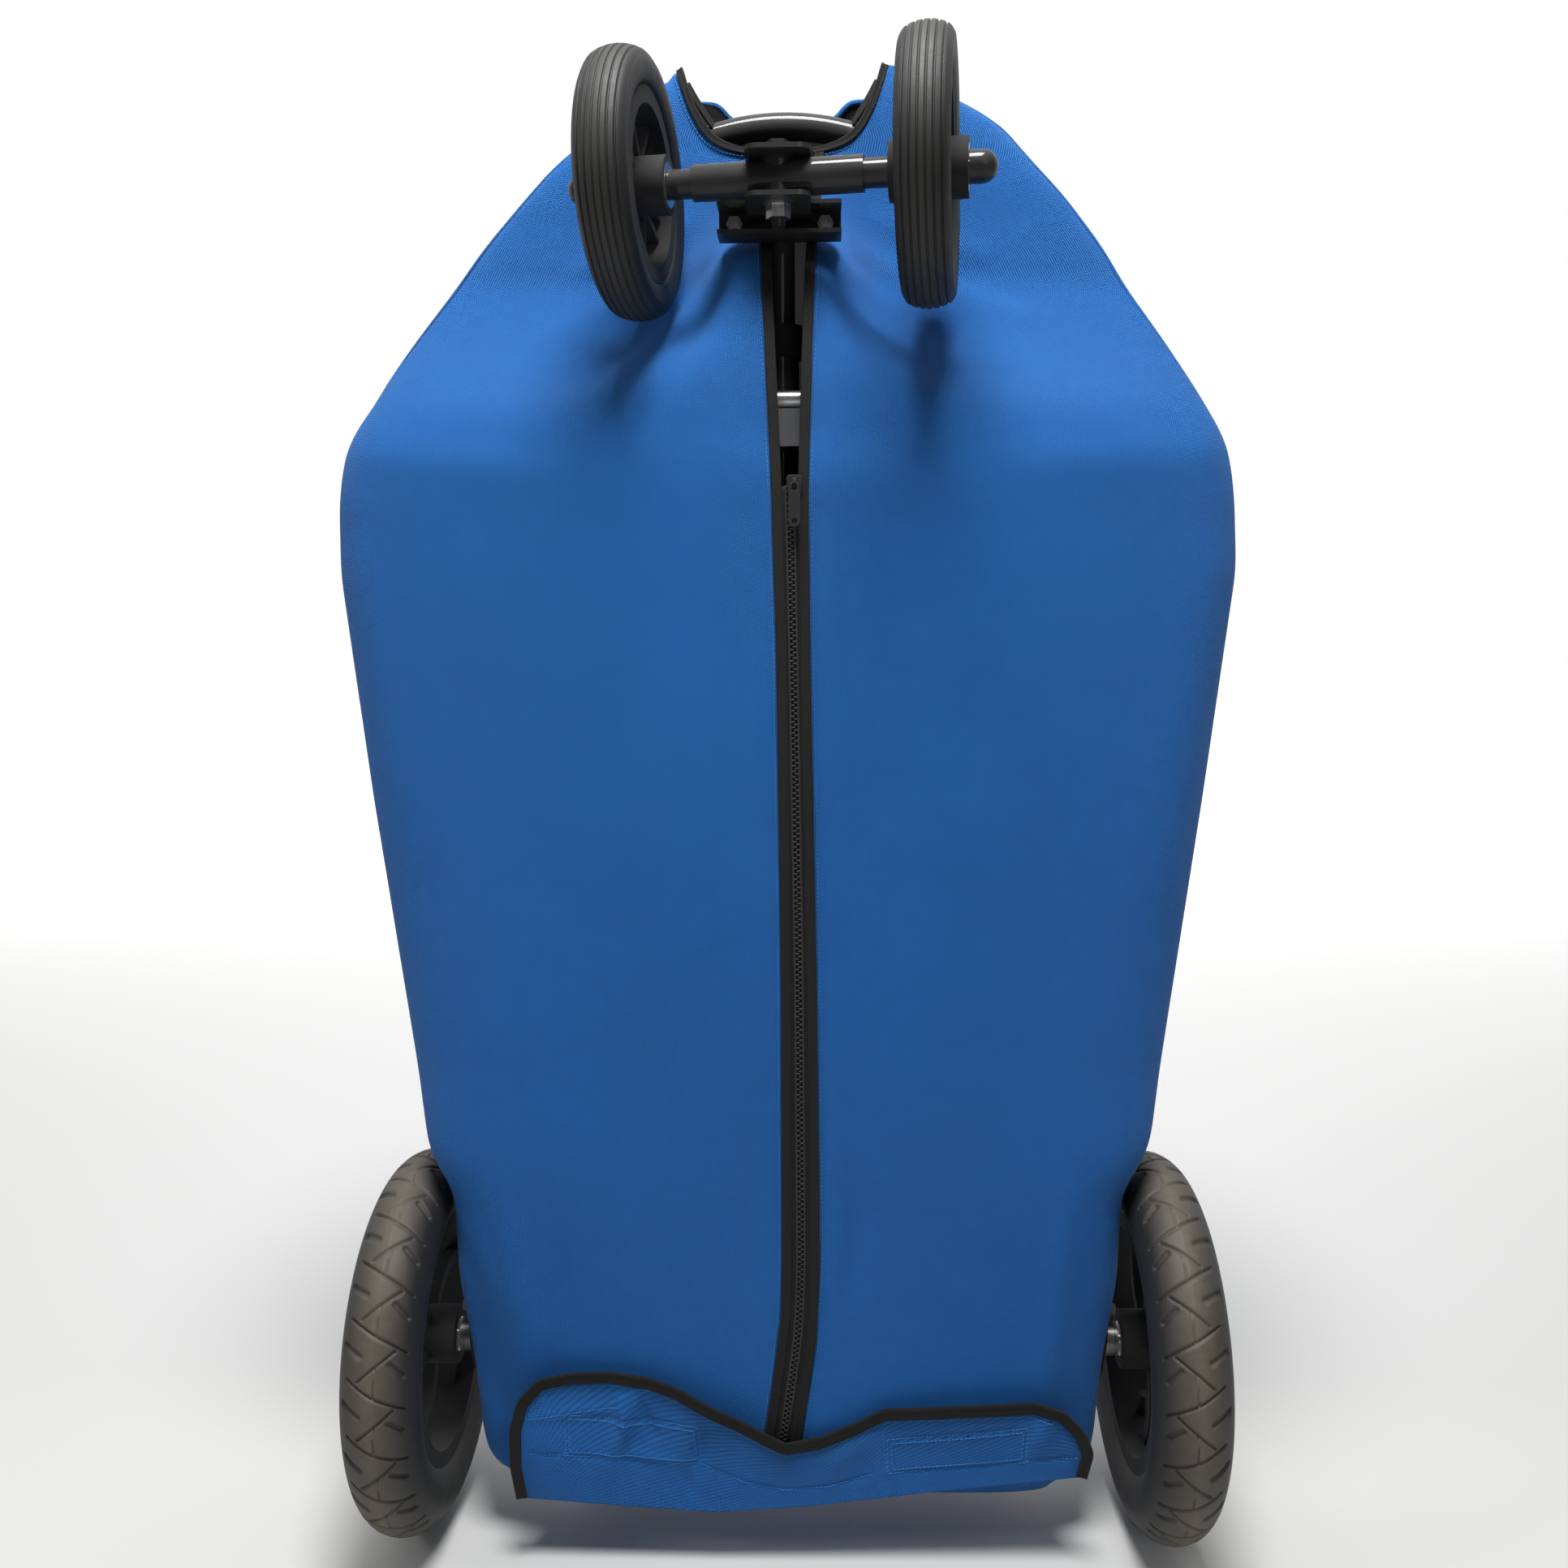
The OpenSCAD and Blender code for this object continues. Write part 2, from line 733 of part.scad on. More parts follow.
// The same line of [x, z] points in n equal steps of height.
function finer(line, n) =
    let (low = line[0][1],
         high = line[len(line) - 1][1],
         x_at = [for (p = line) [p[1], p[0]]])
    [for (i = [0:n]) let (z = low + (high - low) * i / n) [lookup(z, x_at), z]];

module slit_bindings() {
    color("#2b2d30") {
        edge_strip(finer(SLIT_LEFT, 9));
        edge_strip(finer(SLIT_RIGHT, 9));
    }
}

module ear_straps() {
    color("#101011") both_sides() translate([57, 73, 1184]) rotate([0, -35, 0]) cube([3, 12, 22]);
}

module zip_tapes() {
    color("#1a1b1c") for (x = [[-2, 8], [14, 24]])
        translate([x[0], tape_y - tape_t, zip_bottom_z])
            cube([x[1] - x[0], tape_t, slider_z - zip_bottom_z]);
}

module zip_chain() {
    color("#050505") translate([zip_x - chain_half_w, tape_y - tape_t / 2 - chain_t, zip_bottom_z + 6])
        cube([2 * chain_half_w, chain_t, slider_z - zip_bottom_z - 6]);
}

module zip_stop() {
    color("#050505") translate([zip_x - 4, tape_y - tape_t - 2, zip_bottom_z]) cube([8, 2.5, 5.5]);
}

slider_y = tape_y - tape_t / 2 - chain_t - 0.4;

module zip_slider() {
    color("#0a0a0a") {
        translate([zip_x - 6, slider_y - 2, slider_z - 8]) cube([12, 2, 16]);
        translate([zip_x - 2, slider_y - 4, slider_z - 4]) cube([4, 2.2, 9]);
    }
}

pull_hinge_z = slider_z + 2;
pull_y = slider_y - 5.2;

module zip_pull() {
    color("#0a0a0a") translate([zip_x, pull_y, pull_hinge_z]) rotate([90, 0, 0])
        linear_extrude(1.6, center = true) difference() {
            union() {
                translate([-4.5, -28]) square([9, 28.7]);
                translate([0, -28]) circle(r = 4.5);
            }
            translate([0, -27]) circle(r = 2);
        }
}

// ---------- bottom flap ----------

FLAP_TOP = [[-219, 108], [-212, 140], [-196, 156], [-140, 162], [-112, 158], [-86, 148],
            [-56, 132], [-22, 114], [0, 103], [30, 108], [62, 122], [80, 132], [142, 137],
            [200, 139], [220, 133], [238, 117], [244, 100]];
FLAP_LOW = [[238, 79], [122, 66], [24, 53], [-56, 47], [-136, 51], [-214, 57]];
flap_edge = 5;

module flap_outline() {
    polygon(concat(FLAP_TOP, FLAP_LOW));
}

module flap_plate(t, y) {
    translate([0, y, 0]) rotate([90, 0, 0]) linear_extrude(t) children();
}

module inner_flap_outline() {
    offset(delta = -flap_edge) flap_outline();
}

module flap() {
    color("#1652a8") flap_plate(flap_t, flap_y) inner_flap_outline();
}

module flap_binding() {
    color("#1a1b1c") flap_plate(flap_t + 1, flap_y + 0.5) difference() {
        flap_outline();
        inner_flap_outline();
    }
}

module hook_patches() {
    color("#1a1b1c") {
        flap_plate(1, flap_y + 1) translate([-182, 90]) square([112, 38]);
        flap_plate(1, flap_y + 1) translate([84, 84]) square([112, 34]);
    }
}

rear_axle_rod();
rear_axle_tube();
axle_collars();
release_knobs();
spine_foot();
rail_feet();
spine_tube();
spine_collar();
strut_tube();
side_rail_left();
side_rail_right();
corner_joints();
top_hoop();
crossbar();
crossbar_clamp();
front_bracket();
fork_plate_upper();
fork_plate_lower();
bracket_bolts();
pivot_bolt();
pivot_washers();
pivot_nut();
stand_frame();
stand_feet();
cover_front();
cover_top_left();
cover_top_right();
cover_side_left();
cover_side_right();
cover_back();
cover_bottom();
neck_binding();
slit_bindings();
ear_straps();
zip_tapes();
zip_chain();
zip_stop();
axle_sleeve();
axle_stubs();
axle_spacers();
axle_caps();
front_tyre_left();
front_rim_left();
front_bearings_left();
front_tyre_right();
front_rim_right();
front_bearings_right();
rear_tyre_left();
inner_tube_left();
rear_rim_left();
rear_bearings_left();
valve_left();
hub_cap_left();
rear_tyre_right();
inner_tube_right();
rear_rim_right();
rear_bearings_right();
valve_right();
hub_cap_right();
zip_slider();
zip_pull();
flap();
flap_binding();
hook_patches();
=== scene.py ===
"""Folded push cart in a zip-up fabric cover, standing on its two large wheels."""
import json
import math
import bpy
import numpy as np
from mathutils import Matrix, Vector


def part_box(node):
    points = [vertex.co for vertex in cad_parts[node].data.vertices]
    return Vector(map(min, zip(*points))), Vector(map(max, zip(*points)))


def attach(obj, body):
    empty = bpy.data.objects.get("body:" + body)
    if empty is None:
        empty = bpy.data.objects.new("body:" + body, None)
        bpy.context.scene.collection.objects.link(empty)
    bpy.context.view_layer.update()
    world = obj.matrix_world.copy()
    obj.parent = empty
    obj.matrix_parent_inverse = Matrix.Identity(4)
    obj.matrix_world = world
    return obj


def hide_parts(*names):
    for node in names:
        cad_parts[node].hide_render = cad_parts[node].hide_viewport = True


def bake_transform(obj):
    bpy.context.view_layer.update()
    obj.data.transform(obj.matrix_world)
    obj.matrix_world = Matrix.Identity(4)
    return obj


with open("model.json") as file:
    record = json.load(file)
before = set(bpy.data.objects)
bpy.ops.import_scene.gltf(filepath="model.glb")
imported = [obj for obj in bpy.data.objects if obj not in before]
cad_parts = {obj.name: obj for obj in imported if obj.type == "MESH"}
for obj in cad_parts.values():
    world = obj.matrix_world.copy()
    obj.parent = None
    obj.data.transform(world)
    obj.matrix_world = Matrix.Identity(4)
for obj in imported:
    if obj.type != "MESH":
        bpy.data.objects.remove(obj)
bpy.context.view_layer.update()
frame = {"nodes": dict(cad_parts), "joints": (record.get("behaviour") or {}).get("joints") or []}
NODES = frame["nodes"]
MM = 0.001
TURN = 2 * math.pi


def box_mm(node):
    """Lowest and highest corner of a CAD node, in millimetres."""
    low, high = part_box(node)
    return np.array(low) / MM, np.array(high) / MM


# ---------- camera, floor and light ----------

CAMERA_AT = (28.75, -1096.4, 768.2)
CAMERA_PITCH, CAMERA_YAW, CAMERA_ROLL = (math.radians(a) for a in (6.92, -1.5, -0.35))
CAMERA_LENS = 30.96
WHITE = (1.0, 1.0, 1.0)


def add_camera():
    pitch, yaw, roll = CAMERA_PITCH, CAMERA_YAW, CAMERA_ROLL
    forward = Vector((math.sin(yaw) * math.cos(pitch), math.cos(yaw) * math.cos(pitch), -math.sin(pitch)))
    level = Vector((math.cos(yaw), -math.sin(yaw), 0))
    up = level.cross(forward)
    right_dir = math.cos(roll) * level + math.sin(roll) * up
    up_dir = math.cos(roll) * up - math.sin(roll) * level
    data = bpy.data.cameras.new("camera")
    data.lens = CAMERA_LENS
    data.sensor_width = 36
    data.clip_end = 60
    cam = bpy.data.objects.new("camera", data)
    bpy.context.collection.objects.link(cam)
    turn = Matrix((right_dir, up_dir, -forward)).transposed().to_4x4()
    cam.matrix_world = Matrix.Translation(Vector(CAMERA_AT) * MM) @ turn
    bpy.context.scene.camera = cam


def add_area_light(name, at, aim, size, power):
    data = bpy.data.lights.new(name, "AREA")
    data.shape = "DISK"
    data.size = size
    data.energy = power
    lamp = bpy.data.objects.new(name, data)
    lamp.location = at
    lamp.rotation_euler = (Vector(aim) - Vector(at)).to_track_quat("-Z", "Y").to_euler()
    bpy.context.collection.objects.link(lamp)


def add_stage():
    bpy.ops.mesh.primitive_plane_add(size=24, location=(0, 0, 0))
    floor = bpy.context.object
    floor.name = "floor"
    nt, shader = new_material("floor_pale")
    shader.inputs["Base Color"].default_value = (0.62, 0.62, 0.61, 1)
    shader.inputs["Roughness"].default_value = 0.9
    # Far behind the object the floor glows into the white of the studio.
    far = node(nt, "ShaderNodeSeparateXYZ", {0: object_coord(nt)}).outputs["Y"]
    glow = node(nt, "ShaderNodeMapRange", {"Value": far, "From Min": 0.2, "From Max": 3.0, "To Max": 0.8})
    shader.inputs["Emission Color"].default_value = (1, 1, 1, 1)
    nt.links.new(glow.outputs["Result"], shader.inputs["Emission Strength"])
    floor.data.materials.append(bpy.data.materials["floor_pale"])
    world = bpy.data.worlds.new("studio")
    world.use_nodes = True
    # The studio is white behind the object and dimmer on the camera's side.
    nt = world.node_tree
    along_y = node(nt, "ShaderNodeSeparateXYZ", {0: node(nt, "ShaderNodeTexCoord").outputs["Generated"]})
    level = node(nt, "ShaderNodeMapRange", {"Value": along_y.outputs["Y"], "From Min": -0.08,
                                            "From Max": 0.25, "To Min": 0.06, "To Max": 1.0})
    background = nt.nodes["Background"]
    background.inputs["Color"].default_value = (*WHITE, 1)
    nt.links.new(level.outputs["Result"], background.inputs["Strength"])
    bpy.context.scene.world = world
    bpy.context.scene.view_settings.view_transform = "Standard"
    add_area_light("key_above", (0.05, -0.62, 2.6), (0, 0, 0.9), 0.8, 66)
    add_area_light("fill_front", (1.1, -3.0, 1.8), (0, 0, 0.7), 1.6, 6)
    add_area_light("strip_left", (-1.9, -0.9, 1.5), (0, 0, 0.9), 0.5, 7)


# ---------- materials ----------

def new_material(name):
    mat = bpy.data.materials.new(name)
    mat.use_nodes = True
    return mat.node_tree, mat.node_tree.nodes["Principled BSDF"]


def node(nt, kind, inputs=(), **props):
    """New shader node; inputs maps a socket name or number to a value or to another socket."""
    n = nt.nodes.new(kind)
    for key, value in props.items():
        setattr(n, key, value)
    for key, value in dict(inputs).items():
        if isinstance(value, bpy.types.NodeSocket):
            nt.links.new(value, n.inputs[key])
        else:
            n.inputs[key].default_value = value
    return n


def math_node(nt, operation, a, b=0.0, clamp=False):
    return node(nt, "ShaderNodeMath", {0: a, 1: b}, operation=operation, use_clamp=clamp).outputs[0]


def times_plus(nt, value, factor, add, clamp=False):
    """value * factor + add."""
    return node(nt, "ShaderNodeMath", {0: value, 1: factor, 2: add}, operation="MULTIPLY_ADD",
                use_clamp=clamp).outputs[0]


def noise(nt, coord, scale, detail=4.0, rough=0.55):
    return node(nt, "ShaderNodeTexNoise", {"Vector": coord, "Scale": scale, "Detail": detail,
                                           "Roughness": rough}).outputs["Fac"]


def ramp(nt, fac, stops):
    """Colour ramp; stops are (place, colour) with a colour of three numbers."""
    n = node(nt, "ShaderNodeValToRGB", {"Fac": fac})
    while len(n.color_ramp.elements) < len(stops):
        n.color_ramp.elements.new(0.5)
    for element, (place, colour) in zip(n.color_ramp.elements, stops):
        element.position = place
        element.color = (*colour, 1)
    return n.outputs["Color"]


def bump(nt, height, strength, distance, normal=None):
    inputs = {"Height": height, "Strength": strength, "Distance": distance}
    if normal is not None:
        inputs["Normal"] = normal
    return node(nt, "ShaderNodeBump", inputs).outputs["Normal"]


def object_coord(nt):
    return node(nt, "ShaderNodeTexCoord").outputs["Object"]


def uv_coord(nt):
    return node(nt, "ShaderNodeTexCoord").outputs["UV"]


def shade(colour, k):
    return tuple(min(1.0, c * k) for c in colour)


def woven_material(name, colour, cell, contrast, rough, sheen, bump_mm, slant=0.0):
    """Coarse woven cloth: staggered yarn cells of the given size in metres, laid out by UV."""
    nt, shader = new_material(name)
    uv = uv_coord(nt)
    slanted = node(nt, "ShaderNodeMapping", {"Vector": uv, "Rotation": (0, 0, slant)}).outputs[0]
    cells = node(nt, "ShaderNodeTexBrick", {"Vector": slanted, "Scale": 1 / cell, "Mortar Size": 0.22,
                                            "Mortar Smooth": 1.0, "Brick Width": 1.0,
                                            "Row Height": 0.62, "Color1": (1, 1, 1, 1),
                                            "Color2": (0.72, 0.72, 0.72, 1), "Mortar": (0, 0, 0, 1)})
    gap = cells.outputs["Fac"]
    broad = noise(nt, uv, 7, 3)
    patch = noise(nt, uv, 60, 3)
    tone = times_plus(nt, broad, 0.3, times_plus(nt, gap, -contrast, 1.1))
    tone = times_plus(nt, patch, 0.15, tone, True)
    stops = [(0.0, shade(colour, 0.22)), (0.5, colour), (1.0, shade(colour, 2.0))]
    nt.links.new(ramp(nt, tone, stops), shader.inputs["Base Color"])
    shader.inputs["Roughness"].default_value = rough
    shader.inputs["Sheen Weight"].default_value = sheen
    shader.inputs["Sheen Roughness"].default_value = 0.5
    shader.inputs["Specular IOR Level"].default_value = 0.2
    height = math_node(nt, "SUBTRACT", 1.0, gap)
    soft = bump(nt, noise(nt, uv, 35, 3), 0.25, 0.004)
    nt.links.new(bump(nt, height, 0.9, bump_mm * MM, soft), shader.inputs["Normal"])
    return bpy.data.materials[name]


def plain_material(name, colour, rough, metal=0.0, grain=300.0, grain_mm=0.05, wear=0.15, coat=0.0):
    """Painted, moulded or metal surface with a fine grain, smudges and slight colour wear.

    rough is the roughness where there is no smudge.
    """
    nt, shader = new_material(name)
    at = object_coord(nt)
    fine = noise(nt, at, grain, 3)
    smudge = noise(nt, at, 14, 4, 0.6)
    nt.links.new(ramp(nt, smudge, [(0.3, shade(colour, 1 - wear)), (0.7, shade(colour, 1 + wear))]),
                 shader.inputs["Base Color"])
    nt.links.new(times_plus(nt, smudge, 0.3, rough, True), shader.inputs["Roughness"])
    shader.inputs["Metallic"].default_value = metal
    shader.inputs["Coat Weight"].default_value = coat
    nt.links.new(bump(nt, fine, 0.5, grain_mm * MM), shader.inputs["Normal"])
    return bpy.data.materials[name]


def brushed_material(name, colour, rough, lines=900.0):
    """Turned metal: fine rings round the X axis."""
    nt, shader = new_material(name)
    at = object_coord(nt)
    stretched = node(nt, "ShaderNodeMapping", {"Vector": at, "Scale": (lines, 12, 12)}).outputs[0]
    lines_fac = noise(nt, stretched, 1.0, 2)
    nt.links.new(ramp(nt, lines_fac, [(0.3, shade(colour, 0.8)), (0.7, colour)]),
                 shader.inputs["Base Color"])
    nt.links.new(times_plus(nt, lines_fac, 0.25, rough), shader.inputs["Roughness"])
    shader.inputs["Metallic"].default_value = 1.0
    nt.links.new(bump(nt, lines_fac, 0.3, 0.00005), shader.inputs["Normal"])
    return bpy.data.materials[name]


def tyre_material(name, dark, dusty, band):
    """Rubber with a dusty, worn crown; the UV's u runs across the tyre from 0 to 1.

    band is how far from the crown the dust reaches, as a share of that width.
    """
    nt, shader = new_material(name)
    uv = uv_coord(nt)
    at = object_coord(nt)
    across = node(nt, "ShaderNodeSeparateXYZ", {"Vector": uv}).outputs["X"]
    off_centre = math_node(nt, "ABSOLUTE", math_node(nt, "SUBTRACT", across, 0.5))
    crown = math_node(nt, "SUBTRACT", 1.0, math_node(nt, "DIVIDE", off_centre, band), True)
    speck = noise(nt, at, 90, 6, 0.7)
    fac = math_node(nt, "MULTIPLY", crown, math_node(nt, "ADD", speck, 0.45), True)
    nt.links.new(ramp(nt, fac, [(0.0, dark), (1.0, dusty)]), shader.inputs["Base Color"])
    nt.links.new(times_plus(nt, speck, 0.25, 0.5), shader.inputs["Roughness"])
    fine = bump(nt, noise(nt, at, 700, 4), 0.35, 0.0002)
    nt.links.new(bump(nt, noise(nt, at, 120, 4), 0.3, 0.0004, fine), shader.inputs["Normal"])
    return bpy.data.materials[name]


# ---------- mesh helpers ----------

def add_piece(name, verts, faces, body, mat, uvs=None, smooth=True, stands_for=()):
    """Mesh object from millimetre points; it rides on a body, if given, and may replace CAD nodes."""
    mesh = bpy.data.meshes.new(name)
    mesh.from_pydata((np.asarray(verts) * MM).tolist(), [], [tuple(map(int, f)) for f in faces])
    mesh.update()
    if uvs is not None:
        layer = mesh.uv_layers.new(name="UVMap")
        index = np.empty(len(mesh.loops), dtype=np.int64)
        mesh.loops.foreach_get("vertex_index", index)
        layer.data.foreach_set("uv", (np.asarray(uvs)[index] * MM).ravel())
    if smooth:
        mesh.shade_smooth()
    mesh.materials.append(mat)
    obj = bpy.data.objects.new(name, mesh)
    bpy.context.collection.objects.link(obj)
    if body:
        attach(obj, body)
    if stands_for:
        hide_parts(*stands_for)
    return obj


def grid_faces(rows, cols, wrap=False, start=0):
    """Quads of a grid of points, row by row; wrap joins the last column to the first."""
    r, c = np.meshgrid(np.arange(rows - 1), np.arange(cols if wrap else cols - 1), indexing="ij")
    k = (c + 1) % cols
    return (np.stack([r * cols + c, r * cols + k, (r + 1) * cols + k, (r + 1) * cols + c], -1)
            .reshape(-1, 4) + start)


def join_parts(parts):
    """Joins (verts, faces) or (verts, faces, uvs) parts into one."""
    verts, faces, uvs, start = [], [], [], 0
    for part in parts:
        verts.append(np.asarray(part[0], dtype=float))
        faces += [tuple(i + start for i in f) for f in part[1]]
        if len(part) > 2:
            uvs.append(part[2])
        start += len(part[0])
    return np.concatenate(verts), faces, (np.concatenate(uvs) if uvs else None)


def arc_lengths(points):
    steps = np.linalg.norm(np.diff(points, axis=0), axis=1)
    return np.concatenate([[0], np.cumsum(steps)])


def resample(points, count):
    """The same line with evenly spaced points."""
    points = np.asarray(points, dtype=float)
    s = arc_lengths(points)
    t = np.linspace(0, s[-1], count)
    return np.stack([np.interp(t, s, points[:, i]) for i in range(points.shape[1])], -1)


def smooth_line(points, count, passes=30):
    """Rounded line through given points, ends kept."""
    line = resample(points, count)
    for _ in range(passes):
        line[1:-1] = (line[:-2] + 2 * line[1:-1] + line[2:]) / 4
    return resample(line, count)


def unit(v):
    return v / np.maximum(np.linalg.norm(v, axis=-1, keepdims=True), 1e-9)


def sweep(path, normals, profile, closed=True):
    """Sweeps a profile of (sideways, outward) points along a path.

    normals holds the outward direction at each point, or one direction for all of them.
    """
    path, normals = np.asarray(path, dtype=float), np.asarray(normals, dtype=float)
    tangent = unit(np.gradient(path, axis=0))
    outward = unit(normals - (normals * tangent).sum(1, keepdims=True) * tangent)
    side = np.cross(tangent, outward)
    profile = np.asarray(profile, dtype=float)
    verts = (path[:, None] + side[:, None] * profile[None, :, :1]
             + outward[:, None] * profile[None, :, 1:]).reshape(-1, 3)
    n = len(profile)
    faces = grid_faces(len(path), n, closed).tolist()
    if closed:
        last = (len(path) - 1) * n
        faces += [tuple(range(n))[::-1], tuple(range(last, last + n))]
    along = arc_lengths(path)
    across = arc_lengths(profile)
    uvs = np.stack(np.broadcast_arrays(across[None, :], along[:, None]), -1).reshape(-1, 2)
    return verts, faces, uvs


def swept_piece(name, path, normals, profile, mat, body="frame", stands_for=()):
    verts, faces, uvs = sweep(path, normals, profile)
    add_piece(name, verts, faces, body, mat, uvs, stands_for=stands_for)


def ellipse(half_width_mm, half_height_mm, count):
    """Closed oval profile for a sweep."""
    return [(half_width_mm * math.cos(a), half_height_mm * math.sin(a))
            for a in np.linspace(0, TURN, count, endpoint=False)]


def tape_profile(width, thick, rim=1.2, n=6):
    """Soft flat tape: rounded edges, a slight hollow along the middle."""
    half = width / 2
    turn = np.linspace(-90, 90, n)
    right_side = [(half - rim + rim * math.cos(math.radians(a)), thick / 2 * (1 + math.sin(math.radians(a))))
                  for a in turn]
    middle = [(half * k, thick * (0.86 + 0.1 * k * k)) for k in (0.4, 0, -0.4)]
    left_side = [(-x, y) for x, y in right_side[::-1]]
    return right_side + middle + left_side


def revolve(profile, segments):
    """Turns a closed profile of (radius, axial) points about the local Z axis."""
    profile = np.asarray(profile, dtype=float)
    angle = np.linspace(0, TURN, segments, endpoint=False)
    rings = np.stack([np.cos(angle)[:, None] * profile[None, :, 0],
                      np.sin(angle)[:, None] * profile[None, :, 0],
                      np.broadcast_to(profile[None, :, 1], (segments, len(profile)))], -1)
    n = len(profile)
    r, c = np.meshgrid(np.arange(segments), np.arange(n), indexing="ij")
    nxt = (r + 1) % segments
    k = (c + 1) % n
    faces = np.stack([r * n + c, nxt * n + c, nxt * n + k, r * n + k], -1).reshape(-1, 4)
    return rings.reshape(-1, 3), faces


def stitch_row(path, normals, pitch=3.4, length=2.5, radius=0.38, lift=0.25):
    """Row of short raised thread stitches along a path."""
    path = np.asarray(path, dtype=float)
    s = arc_lengths(path)
    count = max(1, int(s[-1] / pitch))
    middle = (np.arange(count) + 0.5) * s[-1] / count

    def at(t, values):
        return np.stack([np.interp(t, s, values[:, i]) for i in range(3)], -1)
    centre, ahead = at(middle, path), at(np.minimum(middle + 0.5, s[-1]), path)
    tangent = unit(ahead - at(np.maximum(middle - 0.5, 0), path))
    outward = unit(at(middle, np.asarray(normals, dtype=float)))
    side = unit(np.cross(tangent, outward))
    rings = []
    for along, r in ((-1, 0.35), (-0.6, 1), (0.6, 1), (1, 0.35)):
        for a in range(6):
            c, d = math.cos(a * TURN / 6), math.sin(a * TURN / 6)
            rings.append(centre + tangent * along * length / 2
                         + side * c * r * radius + outward * (d * r * radius + lift))
    verts = np.stack(rings, 1).reshape(-1, 3)
    one = grid_faces(4, 6, True).tolist() + [tuple(range(6))[::-1], tuple(range(18, 24))]
    faces = [tuple(i + 24 * k for i in f) for k in range(count) for f in one]
    return verts, faces


# ---------- shape of the cover ----------

# Outline of the cover as (height, value) tables, in millimetres.
LOW_WIDTH = [(40, 214), (50, 238), (65, 252), (85, 257), (110, 259), (150, 263), (190, 269), (225, 275),
             (300, 278), (330, 297)]
LEFT_WIDTH = LOW_WIDTH + [(345, 300), (625, 336), (806, 355), (860, 354), (890, 350), (914, 343),
                          (941, 328), (968, 316), (995, 302), (1036, 278), (1078, 250), (1121, 214),
                          (1150, 188), (1184, 141), (1209, 100), (1220, 86)]
RIGHT_WIDTH = LOW_WIDTH + [(345, 302), (625, 338), (806, 359), (860, 356), (890, 352), (910, 346),
                           (936, 334), (963, 321), (990, 308), (1031, 286), (1074, 263), (1117, 232),
                           (1146, 206), (1180, 176), (1206, 124), (1220, 88)]
SEAM_Y = [(40, -20), (300, 0), (907, 0), (950, 18), (992, 42), (1040, 68), (1075, 76), (1148, 88), (1220, 92)]
FRONT_Y = [(40, -38), (65, -57), (100, -66), (870, -66), (905, -58), (935, -42), (960, -14),
           (1000, 28), (1040, 62), (1100, 68), (1220, 66)]
BACK_Y = [(40, 62), (110, 86), (200, 110), (400, 126), (900, 128), (1100, 126), (1170, 122), (1220, 112)]
TENT_Y = [(870, 0), (905, 4), (935, 20), (960, 46), (1000, 78), (1040, 94), (1056, 74), (1085, 48),
          (1144, 18), (1220, 0)]
TENT_X = [(905, 170), (930, 150), (960, 105), (990, 70), (1020, 58), (1220, 55)]
SQUARE = [(40, 4.5), (300, 4.5), (400, 3.2), (625, 2.8), (1220, 2.6)]
BACK_SQUARE = 4.0
# Outer edges of the zip's bindings, then of the open slit above the slider.
LEFT_EDGE = [(96, -18), (160, -9), (209, -3), (258, -1.5), (492, -1), (620, -2), (745, -3), (866, -6),
             (960, -10), (1047, -14), (1144, -25)]
RIGHT_EDGE = [(96, 11), (140, 18), (189, 25), (258, 28), (492, 26), (620, 24), (745, 22), (866, 21),
              (960, 24), (1047, 27), (1144, 34)]
NECK_LEFT = [(1144, 25), (1146, 34), (1151, 45), (1159, 56), (1170, 65), (1187, 74), (1204, 80), (1219, 84)]
NECK_RIGHT = [(1144, 34), (1147, 40)] + NECK_LEFT[3:]
BACK_NECK = [(1187, 0), (1190, 38), (1195, 47), (1201, 52), (1205, 58), (1206, 77), (1212, 84), (1219, 87)]
BAG_LOW, BAG_HIGH = 40.0, 1219.0
CLOTH_MM = 1.8
AXLE_HOLE_R = 31.0
LEG_HOLE_R = 13.0


def read_table(table, z):
    """Table of (height, value) read at a height."""
    return np.interp(z, *zip(*table))


def soft_table(table, z):
    """Table of (height, value) read with its corners rounded off."""
    spread = (-12, -6, 0, 6, 12)
    return sum(read_table(table, np.asarray(z, dtype=float) + d) for d in spread) / len(spread)


def tent(x, z):
    return soft_table(TENT_Y, z) / (1 + (np.abs(x) / soft_table(TENT_X, z)) ** 6)


def half_width(z, side):
    return soft_table(LEFT_WIDTH if side < 0 else RIGHT_WIDTH, z)


def crease(x, z, start, end, width, height):
    """Height of a soft fold along a line from start to end that fades at both ends."""
    a, b = np.array(start, dtype=float), np.array(end, dtype=float)
    length = np.hypot(*(b - a))
    ux, uz = (b - a) / length
    t = ((x - a[0]) * ux + (z - a[1]) * uz) / length
    d = (x - a[0]) * uz - (z - a[1]) * ux
    fade = np.clip(1 - np.abs(2 * t - 1) ** 3, 0, 1) * ((t > 0) & (t < 1))
    return height * fade * np.exp(-(d / width) ** 2)


